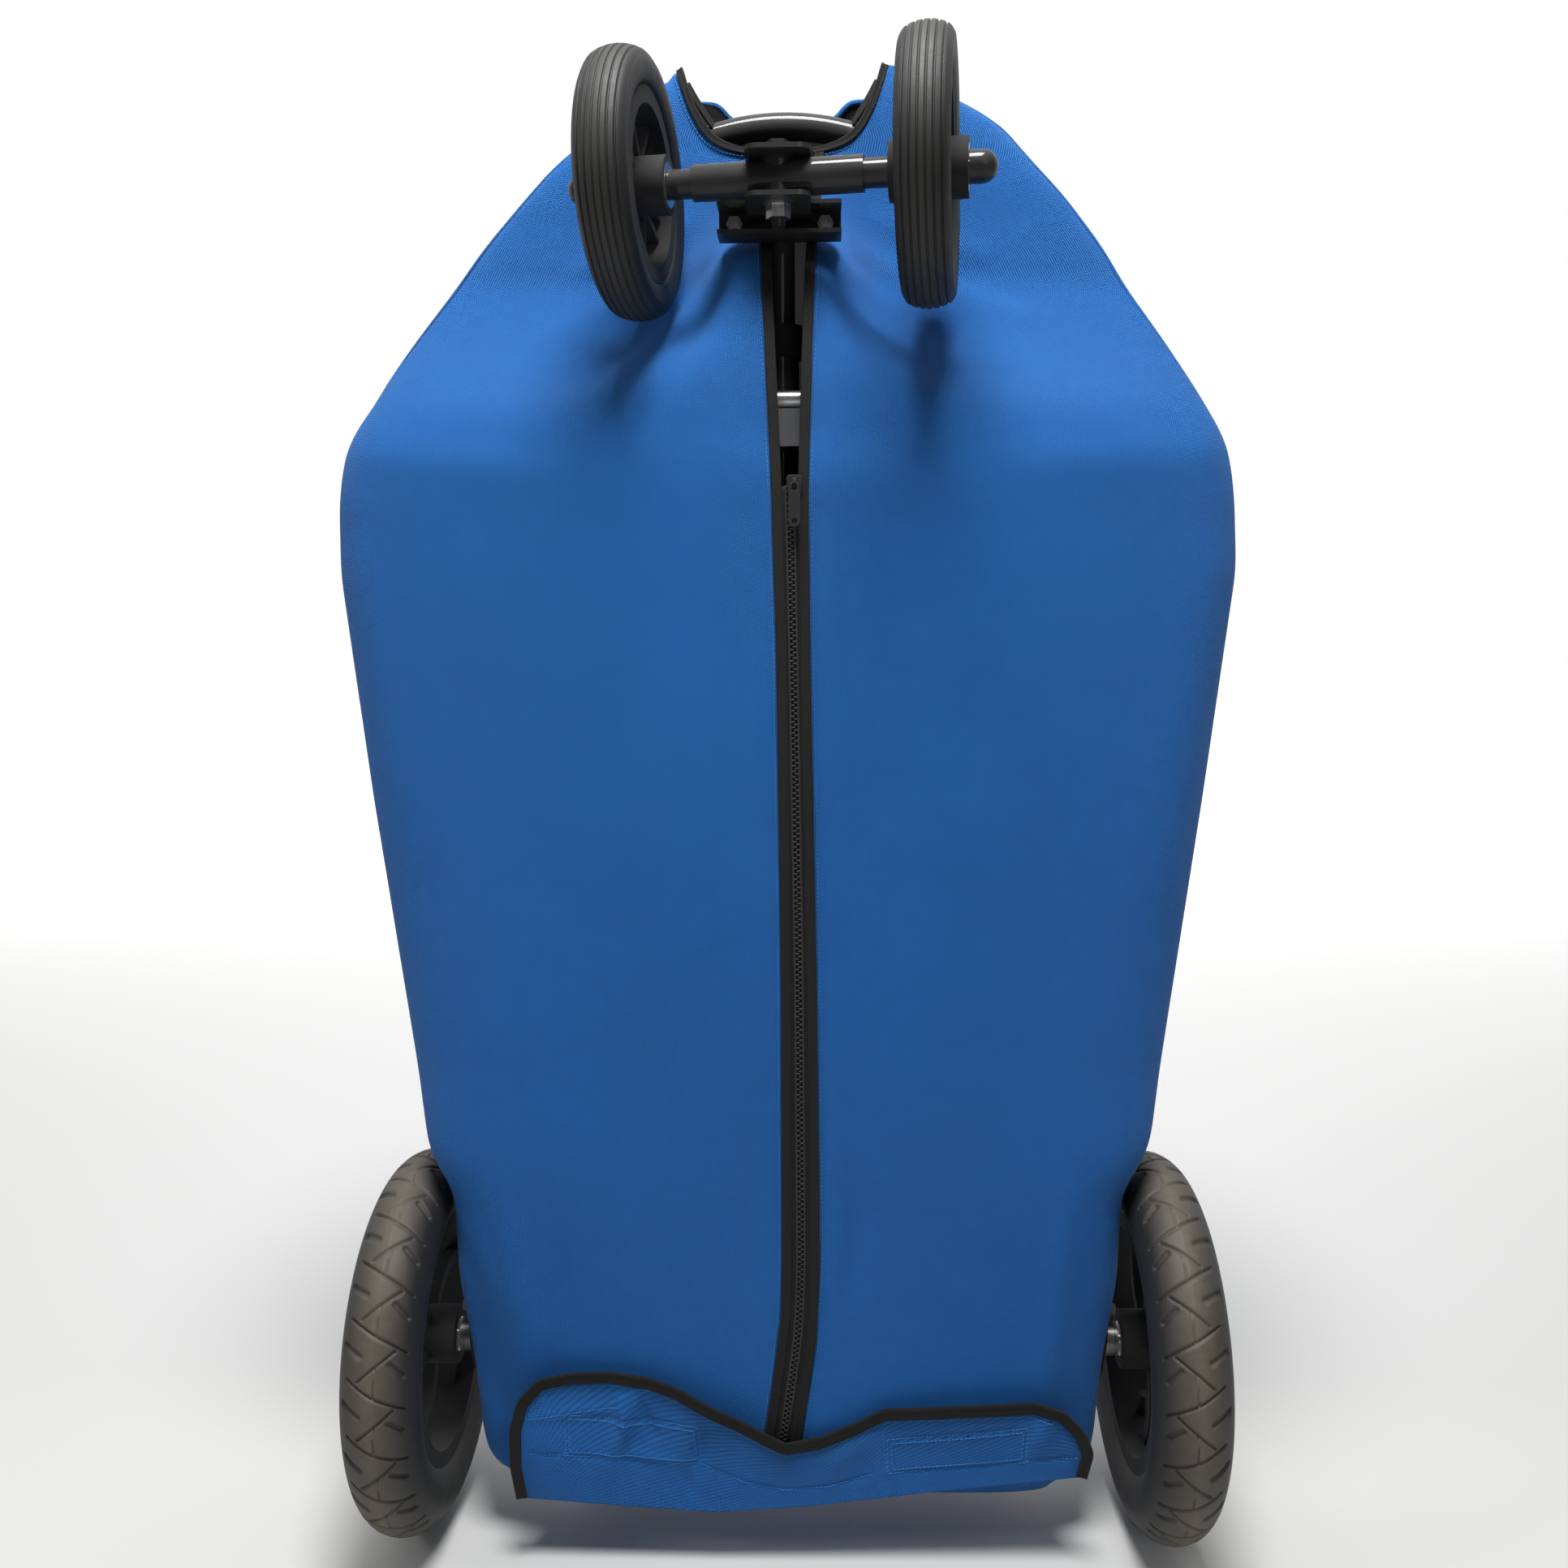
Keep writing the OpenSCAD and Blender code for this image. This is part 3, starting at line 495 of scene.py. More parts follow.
FRONT_CREASES = [
    # start x, z; end x, z; width; height
    ((-40, 1050), (-150, 925), 11, 4.0), ((-42, 1030), (-110, 900), 9, -3.0),
    ((-45, 1068), (-215, 985), 12, 3.0), ((-60, 1100), (-190, 1050), 10, 2.5),
    ((42, 1052), (165, 935), 12, 4.0), ((40, 1030), (100, 905), 9, -3.0),
    ((46, 1070), (225, 1000), 12, 3.0), ((60, 1100), (180, 1062), 9, 2.0),
    ((-345, 896), (-150, 880), 16, 3.0), ((345, 892), (160, 885), 16, 3.0),
    ((-150, 905), (150, 868), 22, 2.0),
    ((36, 500), (48, 130), 10, 3.0), ((-14, 420), (-30, 150), 9, -2.0),
    ((60, 330), (40, 120), 9, -2.5), ((-230, 330), (-205, 90), 14, 3.0), ((230, 330), (205, 90), 14, 3.0),
    ((-270, 300), (-240, 110), 12, -2.5), ((-330, 840), (-290, 560), 26, 2.5),
    ((330, 840), (300, 520), 26, 2.5), ((-80, 760), (-100, 420), 34, 2.2), ((150, 700), (170, 340), 36, 2.0),
]


def front_folds(x, z):
    total = 1.3 * np.sin(x / 61 + z / 210) * np.sin(z / 97 + 1.3) + 0.8 * np.sin(x / 27 - z / 140 + 0.6)
    for start, end, width, height in FRONT_CREASES:
        total = total + crease(x, z, start, end, width, height)
    return total


def back_folds(x, z):
    return (2.2 * np.sin(x / 74 + z / 260) * np.sin(z / 120) + 1.2 * np.sin(x / 33 + z / 90)
            + crease(x, z, (-300, 930), (60, 760), 26, 4) + crease(x, z, (300, 930), (-40, 720), 26, 4)
            + crease(x, z, (-220, 330), (180, 240), 22, 3.5) + crease(x, z, (210, 420), (-160, 330), 20, -3))


def section_line(z, side, front, inner, count):
    """One row of the cover at height z, from the inner edge x to the side seam."""
    a = np.linspace(math.pi / 2, 0, 400)
    square = soft_table(SQUARE, z) if front else BACK_SQUARE
    seam = soft_table(SEAM_Y, z)
    reach = seam - soft_table(FRONT_Y, z) if front else soft_table(BACK_Y, z) - seam
    x = half_width(z, side) * np.cos(a).clip(0) ** (2 / square)
    depth = reach * np.sin(a) ** (2 / square)
    y = seam - depth - tent(x, z) if front else seam + depth
    start = np.interp(inner, x, y)
    keep = x > inner
    line = np.concatenate([[(inner, start)], np.stack([x[keep], y[keep]], -1)])
    line = resample(line, count)
    return np.stack([side * line[:, 0], line[:, 1], np.full(count, z)], -1)


def inner_edge_front(z, side):
    edge, neck = (LEFT_EDGE, NECK_LEFT) if side < 0 else (RIGHT_EDGE, NECK_RIGHT)
    return side * read_table(edge, z) if z <= edge[-1][0] else read_table(neck, z)


def panel(side, front, heights, count):
    """Grid of points of one side of the front or back of the cover, with folds."""
    rows = []
    for z in heights:
        inner = inner_edge_front(z, side) if front else read_table(BACK_NECK, z)
        inner = min(inner, half_width(z, side) - 2)
        rows.append(section_line(z, side, front, inner, count))
    grid = np.array(rows)
    across = unit(np.gradient(grid, axis=1))
    along = unit(np.gradient(grid, axis=0))
    normal = unit(np.cross(across, along)) * side * (1 if front else -1)
    x, z = grid[..., 0], grid[..., 2]
    folds = front_folds(x, z) if front else back_folds(x, z)
    seam_fade = np.clip((1 - np.abs(x) / half_width(z, side)) / 0.06, 0, 1)
    edge = np.linspace(0, 1, grid.shape[1])[None, :]
    zip_fade = np.clip(edge / 0.04, 0.15, 1) if front else 1.0
    return grid + normal * (folds * seam_fade * zip_fade)[..., None]


def grid_uv(grid):
    """UV in millimetres: arc length across each row, and along the middle column."""
    across = np.concatenate([np.zeros((len(grid), 1)),
                             np.cumsum(np.linalg.norm(np.diff(grid, axis=1), axis=2), 1)], 1)
    along = arc_lengths(grid[:, grid.shape[1] // 2])
    return np.stack(np.broadcast_arrays(across, along[:, None]), -1).reshape(-1, 2)


def bag_heights(high, step=5.0):
    low = np.arange(BAG_LOW, 1130, step)
    return np.concatenate([low, np.arange(1130, high, 2.2), [high]])


def drop_hole_faces(verts, faces):
    """Leaves out faces inside the two axle holes and the two stand-leg holes."""
    verts = np.asarray(verts)
    faces = np.asarray(faces)
    centre = verts[faces].mean(1)
    off_axle = np.hypot(centre[:, 1], centre[:, 2] - axle_height())
    at_axle = (off_axle < AXLE_HOLE_R) & (np.abs(centre[:, 0]) > 200)
    top, foot = stand_leg_line()
    leg = foot - top

    def off_leg(points):
        along = ((points - top) @ leg) / (leg ** 2).sum()
        return np.linalg.norm(points - top - along[:, None] * leg, axis=1)
    off = np.minimum(off_leg(centre), off_leg(centre * [-1, 1, 1]))
    at_leg = (off < LEG_HOLE_R) & (centre[:, 1] > 20)
    return faces[~(at_axle | at_leg)].tolist()


def axle_height():
    low, high = box_mm("rear_axle_rod")
    return (low[2] + high[2]) / 2


def stand_leg_line():
    """The right stand leg's centre line, top and foot."""
    high = box_mm("stand_feet")[1]
    foot = high - [13, 13, 2]
    return np.array([foot[0], 12.0, 146.0]), foot


# ---------- cover pieces ----------

def solidify(obj, thickness_mm, offset=-1.0, dark_inside=None):
    mod = obj.modifiers.new("cloth_thickness", "SOLIDIFY")
    mod.thickness = thickness_mm * MM
    mod.offset = offset
    mod.use_even_offset = False
    if dark_inside:
        obj.data.materials.append(dark_inside)
        mod.material_offset = 1


def flat_size(grid):
    """Width and length of a grid of cloth laid flat, and its area, in metres."""
    du = np.linalg.norm(np.diff(grid, axis=1), axis=2)
    dv = np.linalg.norm(np.diff(grid, axis=0), axis=2)
    width, length = du.sum(1).max(), dv.sum(0).max()
    a = np.diff(grid, axis=1)[:-1]
    b = np.diff(grid, axis=0)[:, :-1]
    area = np.linalg.norm(np.cross(a, b), axis=2).sum()
    return float(width * MM), float(length * MM), float(area * MM * MM)


def front_surface(x, z):
    """Outer face of the front of the cover at x, z, in millimetres, without folds."""
    x, z = np.asarray(x, dtype=float), np.asarray(z, dtype=float)
    width = np.where(x < 0, half_width(z, -1), half_width(z, 1))
    square = soft_table(SQUARE, z)
    bulge = np.clip(1 - np.abs(x / width).clip(0, 1) ** square, 0, 1) ** (1 / square)
    seam = soft_table(SEAM_Y, z)
    return seam - (seam - soft_table(FRONT_Y, z)) * bulge - tent(x, z)


def front_line(points, count, lift=0.0, rounding=0):
    """Line of (x, z) points laid on the front of the cover, and its outward normals."""
    xz = smooth_line(points, count, rounding) if rounding else resample(points, count)
    x, z = xz[:, 0], xz[:, 1]
    y = front_surface(x, z)
    step = 1.5
    slope_x = (front_surface(x + step, z) - front_surface(x - step, z)) / (2 * step)
    slope_z = (front_surface(x, z + step) - front_surface(x, z - step)) / (2 * step)
    normal = unit(np.stack([slope_x, -np.ones_like(x), slope_z], -1))
    return np.stack([x, y, z], -1) + normal * lift, normal


def edge_points(edge, low, high):
    """(x, z) points of an edge table of (z, x), between two heights."""
    return [(read_table(edge, h), h) for h in np.linspace(low, high, 60)]


def make_cover(cloth, dark_inside):
    for side, word in ((-1, "left"), (1, "right")):
        grid = panel(side, True, bag_heights(BAG_HIGH), 118)
        verts, faces = grid.reshape(-1, 3), grid_faces(*grid.shape[:2])
        if side < 0:
            faces = faces[:, ::-1]
        obj = add_piece(f"cloth_front_{word}", verts, drop_hole_faces(verts, faces), "frame",
                        cloth, grid_uv(grid),
                        stands_for=("cover_front", f"cover_top_{word}", f"cover_side_{word}"))
        solidify(obj, CLOTH_MM, dark_inside=dark_inside)
        width, length, area = flat_size(grid)
    parts, area, width, length = [], 0, 0, 0
    for side in (-1, 1):
        grid = panel(side, False, bag_heights(BAG_HIGH), 110)
        faces = grid_faces(*grid.shape[:2])
        if side > 0:
            faces = faces[:, ::-1]
        parts.append((grid.reshape(-1, 3), drop_hole_faces(grid.reshape(-1, 3), faces), grid_uv(grid)))
        size = flat_size(grid)
        width, length, area = width + size[0], max(length, size[1]), area + size[2]
    verts, faces, uvs = join_parts(parts)
    back = add_piece("cloth_back", verts, faces, "frame", cloth, uvs,
                     stands_for=("cover_back",))
    weld(back)
    solidify(back, CLOTH_MM, dark_inside=dark_inside)
    make_bottom(cloth)


def weld(obj, distance=0.0002):
    mod = obj.modifiers.new("weld", "WELD")
    mod.merge_threshold = distance


def make_bottom(cloth):
    """Bottom panel between the front and back edges, sagging a little."""
    front, back = (np.concatenate([section_line(BAG_LOW, -1, is_front, 0, 40)[::-1],
                                   section_line(BAG_LOW, 1, is_front, 0, 40)[1:]])
                   for is_front in (True, False))
    rows = []
    for t in np.linspace(0, 1, 24):
        row = front * (1 - t) + back * t
        sag = 4 * t * (1 - t) * (3 + 1.5 * np.sin(row[:, 0] / 40))
        row[:, 2] -= sag - 0.3
        rows.append(row)
    grid = np.array(rows)
    obj = add_piece("cloth_bottom", grid.reshape(-1, 3), grid_faces(*grid.shape[:2])[:, ::-1], "frame",
                    cloth, grid_uv(grid), stands_for=("cover_bottom",))
    solidify(obj, CLOTH_MM)


def make_seams(cloth):
    """Piped side seams from the bottom up to the neck, broken at the axle holes."""
    for side, word in ((-1, "left"), (1, "right")):
        heights = np.arange(BAG_LOW + 2, BAG_HIGH - 1, 4.0)
        x = np.array([side * (half_width(z, side) + 0.4) for z in heights])
        y = soft_table(SEAM_Y, heights)
        path = np.stack([x, y, heights], -1)
        off_axle = np.hypot(y, heights - axle_height()) > AXLE_HOLE_R + 4
        verts, faces, uvs = join_parts([sweep(path[run], [side, 0, 0], ellipse(1.9, 1.9, 10))
                                        for run in split_runs(off_axle)])
        add_piece(f"side_seam_{word}", verts, faces, "frame", cloth, uvs)


def split_runs(mask):
    """Index arrays of the unbroken true runs of a mask."""
    index = np.flatnonzero(mask)
    cuts = np.flatnonzero(np.diff(index) > 1) + 1
    return [run for run in np.split(index, cuts) if len(run) > 2]


def make_bindings(tape, thread):
    """Folded tape along the zip, the slit and the neckline, with its stitching."""
    stitched = []
    for side, word, edge in ((-1, "left", LEFT_EDGE), (1, "right", RIGHT_EDGE)):
        points = [(x - side * 3.6, z) for x, z in edge_points(edge, 98, 1143)]
        path, normal = front_line(points, 420, 0.0, 6)
        swept_piece(f"slit_binding_{word}", path, normal, tape_profile(8.0, 2.6), tape,
                    stands_for=("slit_bindings",))
        row = [(x + side * 2.6, z) for x, z in edge_points(edge, 98, 1143)]
        path, normal = front_line(row, 420, 0.4, 6)
        stitched.append(stitch_row(path, normal))
        neck = [(side * x, z) for z, x in NECK_LEFT]
        path, normal = front_line(neck, 90, -0.3, 10)
        swept_piece(f"neck_binding_{word}", path, normal, tape_profile(6.4, 3.2), tape,
                    stands_for=("neck_binding",))
        row = [(side * (x + 5.5), z - 3) for z, x in NECK_LEFT]
        path, normal = front_line(row, 90, 0.5, 10)
        stitched.append(stitch_row(path, normal))
    verts, faces, _ = join_parts(stitched)
    add_piece("cover_stitches", verts, faces, "frame", thread)


def make_back_neck(cloth):
    """Rolled hem along the top of the back."""
    line = [(x, z) for z, x in BACK_NECK[1:]]
    xz = smooth_line([(-x, z) for x, z in line[::-1]] + line, 150, 6)
    path = np.stack([xz[:, 0], soft_table(BACK_Y, xz[:, 1]) - 0.5, xz[:, 1]], -1)
    swept_piece("back_neck_hem", path, [0, 1, 0], ellipse(2.4, 2.4, 12), cloth)


def make_hole_rings(tape):
    """Bound edges of the axle holes in the sides."""
    a = np.linspace(0, TURN, 73)
    y, z = AXLE_HOLE_R * np.cos(a), axle_height() + AXLE_HOLE_R * np.sin(a)
    for side, word in ((-1, "left"), (1, "right")):
        x = np.array([side_x(yy, zz, side) for yy, zz in zip(y, z)])
        swept_piece(f"axle_hole_binding_{word}", np.stack([x, y, z], -1), [side, 0, 0],
                    ellipse(3.2, 2.4, 10), tape)


def side_x(y, z, side):
    """x of the cover's side at a depth y and height z."""
    seam = float(soft_table(SEAM_Y, z))
    front = y < seam
    square = float(soft_table(SQUARE, z)) if front else BACK_SQUARE
    reach = seam - float(soft_table(FRONT_Y, z)) if front else float(soft_table(BACK_Y, z)) - seam
    f = min(1.0, abs(y - seam) / reach)
    return side * float(half_width(z, side)) * (1 - f ** square) ** (1 / square)


def make_ear_straps(tape):
    """Short straps inside the two ears of the neck."""
    for side, word in ((-1, "left"), (1, "right")):
        strap = [(side * 79, 74, 1207), (side * 72, 80, 1196), (side * 63, 86, 1184), (side * 56, 92, 1176)]
        swept_piece(f"ear_strap_{word}", smooth_line(strap, 24, 6), [-side * 0.6, -0.7, 0.5],
                    tape_profile(9, 1.8), tape, stands_for=("ear_straps",))


# ---------- zip ----------

def zip_line(low, high, count):
    """Middle of the zip between the two bindings."""
    z = np.linspace(low, high, count)
    x = (read_table(LEFT_EDGE, z) + read_table(RIGHT_EDGE, z)) / 2
    return smooth_line(list(zip(x, z)), count, 20)


ZIP_PITCH = 2.1
# One coil turn: its section, where its three rings stand across the zip, and their sizes.
TOOTH = [(-0.55, 0.0), (0.55, 0.0), (0.62, 1.1), (0.3, 1.7), (-0.3, 1.7), (-0.62, 1.1)]
TOOTH_RINGS = [(-0.8, 0.75), (1.2, 1.0), (3.1, 0.8)]


def make_zip(tape, coil, metal):
    """Zip tape, coil chain and the coil's two edge cords, then the slider and its pull."""
    top = box_mm("zip_slider")[1][2]
    middle = zip_line(102, top - 8, 300)
    path, normal = front_line(middle, 300, 0.2, 4)
    swept_piece("zip_tape", path, normal, tape_profile(15, 1.1, 0.5), tape,
                stands_for=("zip_tapes",))
    count = int(arc_lengths(path)[-1] / ZIP_PITCH)
    line = resample(path, count)
    normals = resample(normal, count)
    tangent = unit(np.gradient(line, axis=0))
    side = np.cross(tangent, normals)
    tooth_faces = grid_faces(3, 6, True).tolist() + [tuple(range(6))[::-1], tuple(range(12, 18))]
    parts = []
    for i in range(count):
        hand = 1 if i % 2 else -1
        verts = [line[i] + side[i] * (e * hand) + tangent[i] * a * k * 1.5 + normals[i] * (0.9 + b * k)
                 for e, k in TOOTH_RINGS for a, b in TOOTH]
        parts.append((verts, tooth_faces))
    verts, faces, _ = join_parts(parts)
    add_piece("zip_chain", verts, faces, "frame", coil, stands_for=("zip_chain", "zip_stop"))
    for hand, word in ((-1, "left"), (1, "right")):
        edge = line + side * (hand * 3.0) + normals * 1.6
        swept_piece(f"zip_edge_{word}", edge, normals, ellipse(0.9, 0.8, 8), coil)
    make_slider(metal)
    make_pull_tab(metal)


def rounded_slab(outline, y_front, y_back, edge=0.5):
    """Solid plate from an (x, z) outline with chamfered edges."""
    outline = np.asarray(outline, dtype=float)
    centre = outline.mean(0)
    n = len(outline)
    shrunk = centre + (outline - centre) * (1 - edge / np.abs(outline - centre).max())
    layers = [(shrunk, y_front), (outline, y_front + edge), (outline, y_back - edge), (shrunk, y_back)]
    verts = [(x, y, z) for points, y in layers for x, z in points]
    faces = grid_faces(4, n, True).tolist() + [tuple(range(n))[::-1], tuple(range(3 * n, 4 * n))]
    return np.array(verts), faces


def arc_points(cx, cz, r, start, end, n=10):
    return [(cx + r * math.cos(math.radians(a)), cz + r * math.sin(math.radians(a)))
            for a in np.linspace(start, end, n)]


def make_slider(metal):
    """The slider's shield and the bridge over it."""
    low, high = box_mm("zip_slider")
    x, mid_z = (low[0] + high[0]) / 2, (low[2] + high[2]) / 2
    shield = (arc_points(x - 3.2, high[2] - 3, 3, 90, 180) + arc_points(x - 2.4, low[2] + 2.4, 2.4, 180, 270)
              + arc_points(x + 2.4, low[2] + 2.4, 2.4, 270, 360) + arc_points(x + 3.2, high[2] - 3, 3, 0, 90))
    plate = rounded_slab(shield, low[1] + 2.0, high[1], 0.6)
    loop = [(x, low[1] + out, mid_z + up)
            for out, up in ((2.2, -4), (0.4, -2.5), (-0.6, 1), (0.4, 4.5), (2.2, 5.5))]
    bridge = sweep(smooth_line(loop, 24, 4), [0, -1, 0.2], ellipse(1.5, 0.8, 10))
    verts, faces, _ = join_parts([plate, bridge[:2]])
    add_piece("zip_slider_body", verts, faces, "zip_slider", metal, smooth=False,
              stands_for=("zip_slider",))


def make_pull_tab(metal):
    """Pull tab: an eye at its top, and a plate with a round hole, made in two mirrored halves."""
    low, high = box_mm("zip_pull")
    x, y = (low[0] + high[0]) / 2, (low[1] + high[1]) / 2
    top, bottom = high[2], low[2]
    eye = smooth_line([(x + dx, top - down)
                       for dx, down in ((-2.9, 7), (-2.9, 2), (0, 0.4), (2.9, 2), (2.9, 7))], 30, 3)
    path = np.stack([eye[:, 0], np.full(30, y), eye[:, 1]], -1)
    parts = [sweep(path, [0, -1, 0], ellipse(0.9, 0.8, 8))[:2]]
    for sign in (-1, 1):
        half = [(0.0, top - 6.2), (3.6, top - 6.2), (4.5, top - 9), (4.5, bottom + 5)]
        half += arc_points(0, bottom + 4.5, 4.5, 0, -90, 8)
        half += [(0.0, bottom + 2.6)] + arc_points(0, bottom + 4.6, 2.0, -80, 80, 8) + [(0.0, bottom + 6.6)]
        outline = [(x + sign * px, pz) for px, pz in half]
        if sign < 0:
            outline = outline[::-1]
        parts.append(rounded_slab(outline, y - 0.8, y + 0.8, 0.25))
    verts, faces, _ = join_parts(parts)
    add_piece("zip_pull_tab", verts, faces, "zip_pull", metal, smooth=False,
              stands_for=("zip_pull",))


# ---------- bottom flap ----------

# Upper edge and fold of the flap, its two sewn patches and its other seams, as (x, z).
FLAP_TOP = [(-216, 57), (-220, 84), (-219, 118), (-213, 140), (-198, 156), (-176, 160), (-140, 162),
            (-112, 158), (-86, 148), (-56, 132), (-22, 114), (0, 103), (30, 108), (62, 122), (80, 132),
            (142, 137), (200, 139), (222, 132), (238, 115), (244, 100), (239, 80)]
FLAP_LOW = [(-216, 57), (-136, 51), (-56, 46), (24, 53), (122, 66), (239, 80)]
FLAP_PATCHES = [((-179, 130), (-71, 121), (-69, 87), (-179, 95)),
                ((82, 110), (195, 122), (194, 92), (83, 81))]
FLAP_LINES = [[(-209, 96), (-179, 95)], [(-69, 87), (-34, 73), (0, 66), (36, 70), (70, 80)],
              [(194, 93), (236, 96)], [(-209, 126), (-134, 137)], [(78, 118), (82, 84)]]
FLAP_SEAMS = ([pair for patch in FLAP_PATCHES for pair in zip(patch, patch[1:] + patch[:1])]
              + [pair for line in FLAP_LINES for pair in zip(line, line[1:])])
FLAP_CREASES = [
    # start x, z; end x, z; width; height
    ((-150, 60), (-120, 160), 9, 4), ((-80, 52), (-60, 130), 8, -4), ((20, 60), (70, 120), 12, 3),
    ((200, 92), (214, 138), 9, 3), ((-134, 150), (-128, 108), 4, 2.6), ((-118, 150), (-104, 104), 4, -2.4),
    ((-128, 98), (-84, 87), 4, 2.2), ((-84, 87), (-74, 52), 4, -3.0), ((-76, 87), (-64, 52), 5, 2.6),
    ((-210, 126), (-134, 137), 4, 1.6),
]
FLAP_FACE_Y = -77.0
# Depth at which the flap's cloth leaves the underside of the cover.
FLAP_ROOT_Y = -48


def flap_y(x, z, low):
    """Depth of the flap's outer face: it stands off the cover and ripples."""
    up = np.clip((z - low) / 60, 0, 1)
    ripple = 1.8 * np.sin(x / 30 + z / 45)
    ripple = ripple + 1.2 * np.sin(x / 13 - z / 22) * np.exp(-((x + 70) / 60) ** 2)
    ripple = ripple + sum(crease(x, z, *fold) for fold in FLAP_CREASES)
    seams = sum(crease(x, z, a, b, 1.8, -1.1) for a, b in FLAP_SEAMS)
    return FLAP_FACE_Y - up * (ripple + 1.0) - np.clip((z - low) / 12, 0, 1) * seams


def flap_grid(rows, cols):
    top = smooth_line(FLAP_TOP, cols, 3)
    low = smooth_line(FLAP_LOW, cols, 10)
    out = []
    for t in np.linspace(0, 1, rows):
        xz = low * (1 - t) + top * t
        out.append(np.stack([xz[:, 0], flap_y(xz[:, 0], xz[:, 1], low[:, 1]), xz[:, 1]], -1))
    return np.array(out), top, low


def make_flap(cloth, tape, thread):
    """The flap with the cloth of its fold, its bound edge and its stitching."""
    rows, cols = 84, 320
    grid, top, low = flap_grid(rows, cols)
    # The cloth comes forward from under the cover and turns up at the fold.
    fold = []
    for t in np.linspace(0, 1, 14)[:-1]:
        a = t * math.pi / 2
        x = low[:, 0] * (0.95 + 0.05 * t)
        y = FLAP_ROOT_Y + (grid[0, :, 1] - FLAP_ROOT_Y) * np.sin(a)
        z = low[:, 1] - 4.0 * math.cos(a) * (1 - t) - 2.0 * np.sin(2 * a)
        fold.append(np.stack([x, y, z], -1))
    whole = np.concatenate([np.array(fold), grid])
    obj = add_piece("flap_cloth", whole.reshape(-1, 3), grid_faces(*whole.shape[:2]), None,
                    cloth, grid_uv(whole), stands_for=("flap", "hook_patches"))
    solidify(obj, 2.0)
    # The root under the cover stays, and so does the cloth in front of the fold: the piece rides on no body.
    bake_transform(obj)
    edge = np.stack([top[:, 0], flap_y(top[:, 0], top[:, 1], low[:, 1]) - 0.4, top[:, 1]], -1)
    swept_piece("flap_edge_binding", edge, [0, -1, 0], centred(tape_profile(9.5, 4.2)), tape,
                "flap", ("flap_binding",))
    rows_of_stitches = []
    for patch in FLAP_PATCHES:
        for inset in (0.0, 3.4):
            middle = np.mean(patch, axis=0)
            corners = [np.array(p) + np.sign(middle - np.array(p)) * inset for p in patch]
            for a, b in zip(corners, corners[1:] + corners[:1]):
                rows_of_stitches.append(flap_line([a, b], 50, low))
    inner = [(x * 0.972, z - 6.5) for x, z in FLAP_TOP[3:-3]]
    rows_of_stitches.append(flap_line(inner, 240, low))
    rows_of_stitches += [flap_line(line, 60, low) for line in FLAP_LINES]
    verts, faces, _ = join_parts([stitch_row(p, n) for p, n in rows_of_stitches])
    add_piece("flap_stitches", verts, faces, "flap", thread)


def centred(profile):
    """The same profile, with its middle on the path that it is swept along."""
    middle = sum(y for _, y in profile) / len(profile)
    return [(x, y - middle) for x, y in profile]


def flap_line(points, count, low):
    """Line of (x, z) points laid on the flap, and its outward normals."""
    xz = resample(points, count)
    order = np.argsort(low[:, 0])
    base = np.interp(xz[:, 0], low[order, 0], low[order, 1])
    y = flap_y(xz[:, 0], xz[:, 1], base)
    return np.stack([xz[:, 0], y, xz[:, 1]], -1), np.tile([0.0, -1.0, 0.0], (count, 1))


# ---------- tyres ----------

TREAD_REPEATS = 22
TREAD_DEPTH = 2.2
# Grooves of one repeat as (across, along) ends in millimetres, half width.
TREAD_GROOVES = [((-23, 0), (-3, 9), 1.1), ((-3, 9), (20, 22), 1.1), ((10, 21), (-4, 32), 1.0),
                 ((-4, 32), (-19, 43), 1.0), ((9, -5), (25, 3), 2.4), ((-27, 24), (-15, 33), 2.2),
                 ((-23, 0), (-30, -3), 1.0), ((-3, 9), (-4, 32), 0.35)]


def tread_depth(across, along, pitch):
    """Depth of the tread's grooves at a place on the unrolled tyre, 0 to 1."""
    deepest = np.zeros_like(across)
    for (x0, y0), (x1, y1), half in TREAD_GROOVES:
        for shift in (-pitch, 0, pitch):
            dx, dy = x1 - x0, y1 - y0
            px, py = across - x0, along - (y0 + shift)
            t = np.clip((px * dx + py * dy) / (dx * dx + dy * dy), 0, 1)
            d = np.hypot(px - t * dx, py - t * dy)
            deepest = np.maximum(deepest, np.clip(1.35 - d / half * 0.9, 0, 1))
    return deepest * deepest * (3 - 2 * deepest)


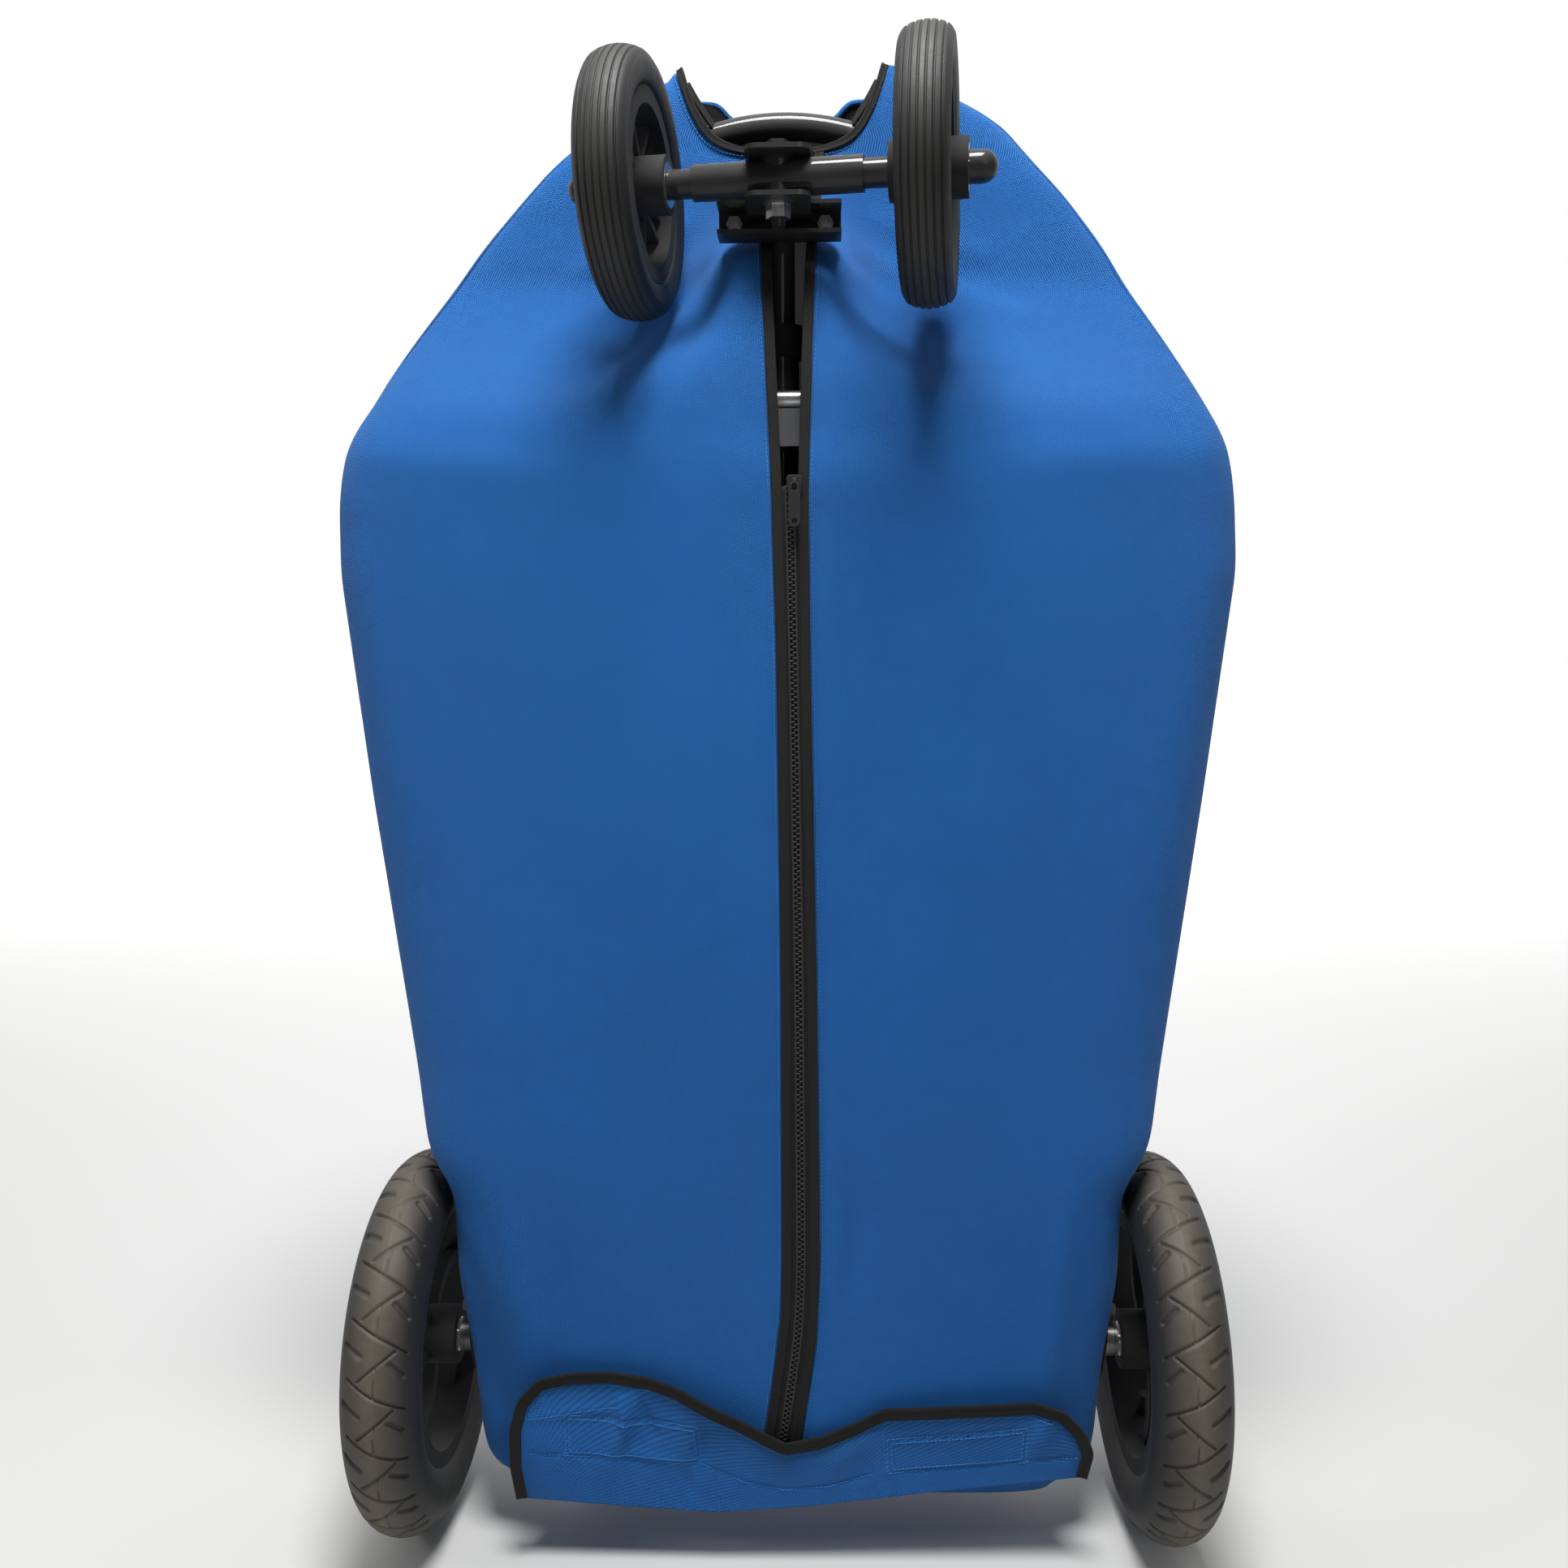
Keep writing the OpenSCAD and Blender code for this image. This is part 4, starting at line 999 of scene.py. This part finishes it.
def make_rear_tyre(side, word, rubber):
    """Air tyre with its tread cut into the crown and two ribs on each wall."""
    low, high = box_mm(f"rear_tyre_{word}")
    centre = (low + high) / 2
    outer = (high[2] - low[2]) / 2
    r = (high[0] - low[0]) / 2
    at = outer - r
    phi = np.radians(np.concatenate([np.linspace(-138, -62, 16)[:-1], np.linspace(-62, 62, 74),
                                     np.linspace(62, 138, 16)[1:]]))
    steps = TREAD_REPEATS * 36
    theta = np.linspace(0, TURN, steps, endpoint=False)
    pitch = TURN * outer / TREAD_REPEATS
    across = r * phi
    along = (theta * outer) % pitch
    a, s = np.meshgrid(along, across, indexing="ij")
    depth = tread_depth(s, a, pitch) * TREAD_DEPTH * np.clip((33 - np.abs(s)) / 3, 0, 1)
    ribs = 0.5 * np.exp(-((np.abs(s) - 46) / 1.6) ** 2) + 0.35 * np.exp(-((np.abs(s) - 38) / 1.0) ** 2)
    seam = 0.25 * np.exp(-(s / 0.7) ** 2)
    section = r - depth + ribs + seam - 0.5
    radial = at + section * np.cos(phi)[None, :]
    axial = section * np.sin(phi)[None, :]
    radial = np.maximum(radial, bead_seat_radius(word))
    x = centre[0] + side * axial
    y = radial * np.sin(theta)[:, None]
    z = centre[2] + radial * np.cos(theta)[:, None]
    grid = np.stack([x, y, z], -1)
    n = grid.shape[1]
    faces = np.stack(np.meshgrid(np.arange(steps), np.arange(n - 1), indexing="ij"), -1).reshape(-1, 2)
    i, j = faces[:, 0], faces[:, 1]
    k = (i + 1) % steps
    quads = np.stack([i * n + j, i * n + j + 1, k * n + j + 1, k * n + j], -1)
    if side > 0:
        quads = quads[:, ::-1]
    uv = np.stack(np.broadcast_arrays(np.linspace(0, 1, n)[None, :] / MM, theta[:, None] * outer), -1)
    add_piece(f"rear_tyre_{word}_tread", grid.reshape(-1, 3), quads, f"rear_wheel_{word}",
              rubber, uv.reshape(-1, 2), stands_for=(f"rear_tyre_{word}",))


def bead_seat_radius(word):
    """Radius of the rim's bead seat."""
    low, high = box_mm(f"rear_rim_{word}")
    return (high[2] - low[2]) / 2 - 4.3


def make_front_tyre(word, rubber):
    """Ribbed solid tyre, turned about its wheel's axle."""
    low, high = box_mm(f"front_tyre_{word}")
    wheel = next(j for j in frame["joints"] if j["child"] == f"front_wheel_{word}")
    centre = np.array(wheel["pos_m"]) / MM
    axis = unit(np.array(wheel["axis"], dtype=float))
    outer, inner, half, crown = (high[2] - low[2]) / 2, 68.0, 19.0, 34.0
    profile = []
    for s in np.linspace(-1, 1, 141):
        z = s * (half - 0.3)
        edge = outer - crown + math.sqrt(crown * crown - z * z)
        shoulder = max(0.0, abs(z) - (half - 5)) / 5
        edge -= 4.2 * (1 - math.sqrt(max(0.0, 1 - shoulder ** 2)))
        groove = sum(math.exp(-((z - (i - 2.5) * 5.4) / 0.75) ** 4) for i in range(6))
        profile.append((edge - 1.3 * groove, z))
    wall = [(outer - 8.5, half), (outer - 14, half + 0.1), (inner + 8, half - 0.6), (inner + 3, half - 1.6),
            (inner + 0.2, half - 3.6), (inner, half - 6)]
    profile = profile + wall + [(r, -z) for r, z in wall[::-1]]
    verts, faces = revolve(profile, 200)
    up = np.array([0, 0, 1.0])
    placed = centre + verts[:, :1] * up + verts[:, 1:2] * np.cross(axis, up) + verts[:, 2:] * axis
    n = len(profile)
    u = np.concatenate([np.linspace(0, 1, 141), np.full(n - 141, 1.0)])
    uv = np.stack(np.broadcast_arrays(u[None, :] / MM, np.linspace(0, 600, 200)[:, None]), -1).reshape(-1, 2)
    add_piece(f"front_tyre_{word}_rubber", placed, faces[:, ::-1], f"front_wheel_{word}",
              rubber, uv, stands_for=(f"front_tyre_{word}",))


# ---------- finishes of the carried-over parts ----------

def dress(names, mat, bevel_mm=0.0):
    """Gives CAD nodes a material and, for plates, softened edges."""
    for name in names:
        obj = NODES[name]
        obj.data.materials.clear()
        obj.data.materials.append(mat)
        if bevel_mm:
            mod = obj.modifiers.new("soft_edges", "BEVEL")
            mod.width = bevel_mm * MM
            mod.segments = 2
            mod.limit_method = "ANGLE"
            mod.angle_limit = math.radians(40)


def both(*stems):
    return [f"{stem}_{word}" for stem in stems for word in ("left", "right")]


def main():
    add_camera()
    add_stage()
    cloth = woven_material("cover_cloth", (0.0075, 0.091, 0.305), cell=0.0022, contrast=1.0, rough=0.75,
                           sheen=0.06, bump_mm=1.0, slant=0.7)
    # Near-black cloth on the inner faces of the cover: the inside seen through the slit and the neck comes
    # out dark.
    dark_inside = woven_material("cover_lining", (0.006, 0.0065, 0.008), cell=0.0012, contrast=0.5,
                            rough=0.85, sheen=0.05, bump_mm=0.15)
    tape = woven_material("binding_tape", (0.0060, 0.0056, 0.0052), cell=0.0014, contrast=0.8,
                          rough=0.7, sheen=0.04, bump_mm=0.4)
    thread = plain_material("blue_thread", (0.05, 0.22, 0.52), 0.95, grain=900)
    coil = plain_material("zip_coil", (0.012, 0.012, 0.013), 0.77, grain=600, grain_mm=0.02)
    zip_black = plain_material("zip_lacquer", (0.018, 0.018, 0.02), 0.65, 0.3, 700, 0.02)
    rear_rubber = tyre_material("rear_rubber", (0.012, 0.0115, 0.011), (0.105, 0.090, 0.068), 0.30)
    front_rubber = tyre_material("front_rubber", (0.0055, 0.0055, 0.0053), (0.020, 0.0195, 0.0175), 0.5)
    moulded = plain_material("moulded_black", (0.010, 0.010, 0.011), 0.71, grain=500)
    paint = plain_material("satin_paint", (0.009, 0.009, 0.009), 0.61, grain=260, grain_mm=0.04,
                           wear=0.2, coat=0.4)
    steel_black = plain_material("black_steel", (0.010, 0.010, 0.0105), 0.59, 0.3, 400, 0.04, 0.3, 0.4)
    steel = brushed_material("turned_steel", (0.58, 0.57, 0.55), 0.18)
    alloy = brushed_material("crossbar_alloy", (0.70, 0.71, 0.73), 0.2, 500)
    grey = plain_material("grey_moulding", (0.17, 0.175, 0.18), 0.85, grain=400, grain_mm=0.06)

    make_cover(cloth, dark_inside)
    make_seams(cloth)
    make_bindings(tape, thread)
    make_back_neck(cloth)
    make_hole_rings(tape)
    make_ear_straps(tape)
    make_zip(tape, coil, zip_black)
    make_flap(cloth, tape, thread)
    for side, word in ((-1, "left"), (1, "right")):
        make_rear_tyre(side, word, rear_rubber)
        make_front_tyre(word, front_rubber)

    dress(both("rear_rim", "front_rim", "hub_cap"), moulded)
    dress(both("inner_tube", "valve") + ["stand_feet"], front_rubber)
    dress(both("side_rail") + ["top_hoop", "spine_tube", "strut_tube", "stand_frame",
                               "rear_axle_tube"], paint)
    dress(["spine_foot", "rail_feet", "spine_collar", "corner_joints"], moulded)
    dress(["front_bracket", "fork_plate_upper", "fork_plate_lower"], steel_black, 0.6)
    dress(["pivot_bolt", "axle_sleeve", "axle_spacers", "axle_caps"], steel_black)
    dress(["rear_axle_rod", "axle_collars", "bracket_bolts", "pivot_washers", "pivot_nut", "axle_stubs"]
          + both("rear_bearings", "front_bearings"), steel)
    dress(["crossbar"], alloy)
    dress(["crossbar_clamp", "release_knobs"], grey)


main()
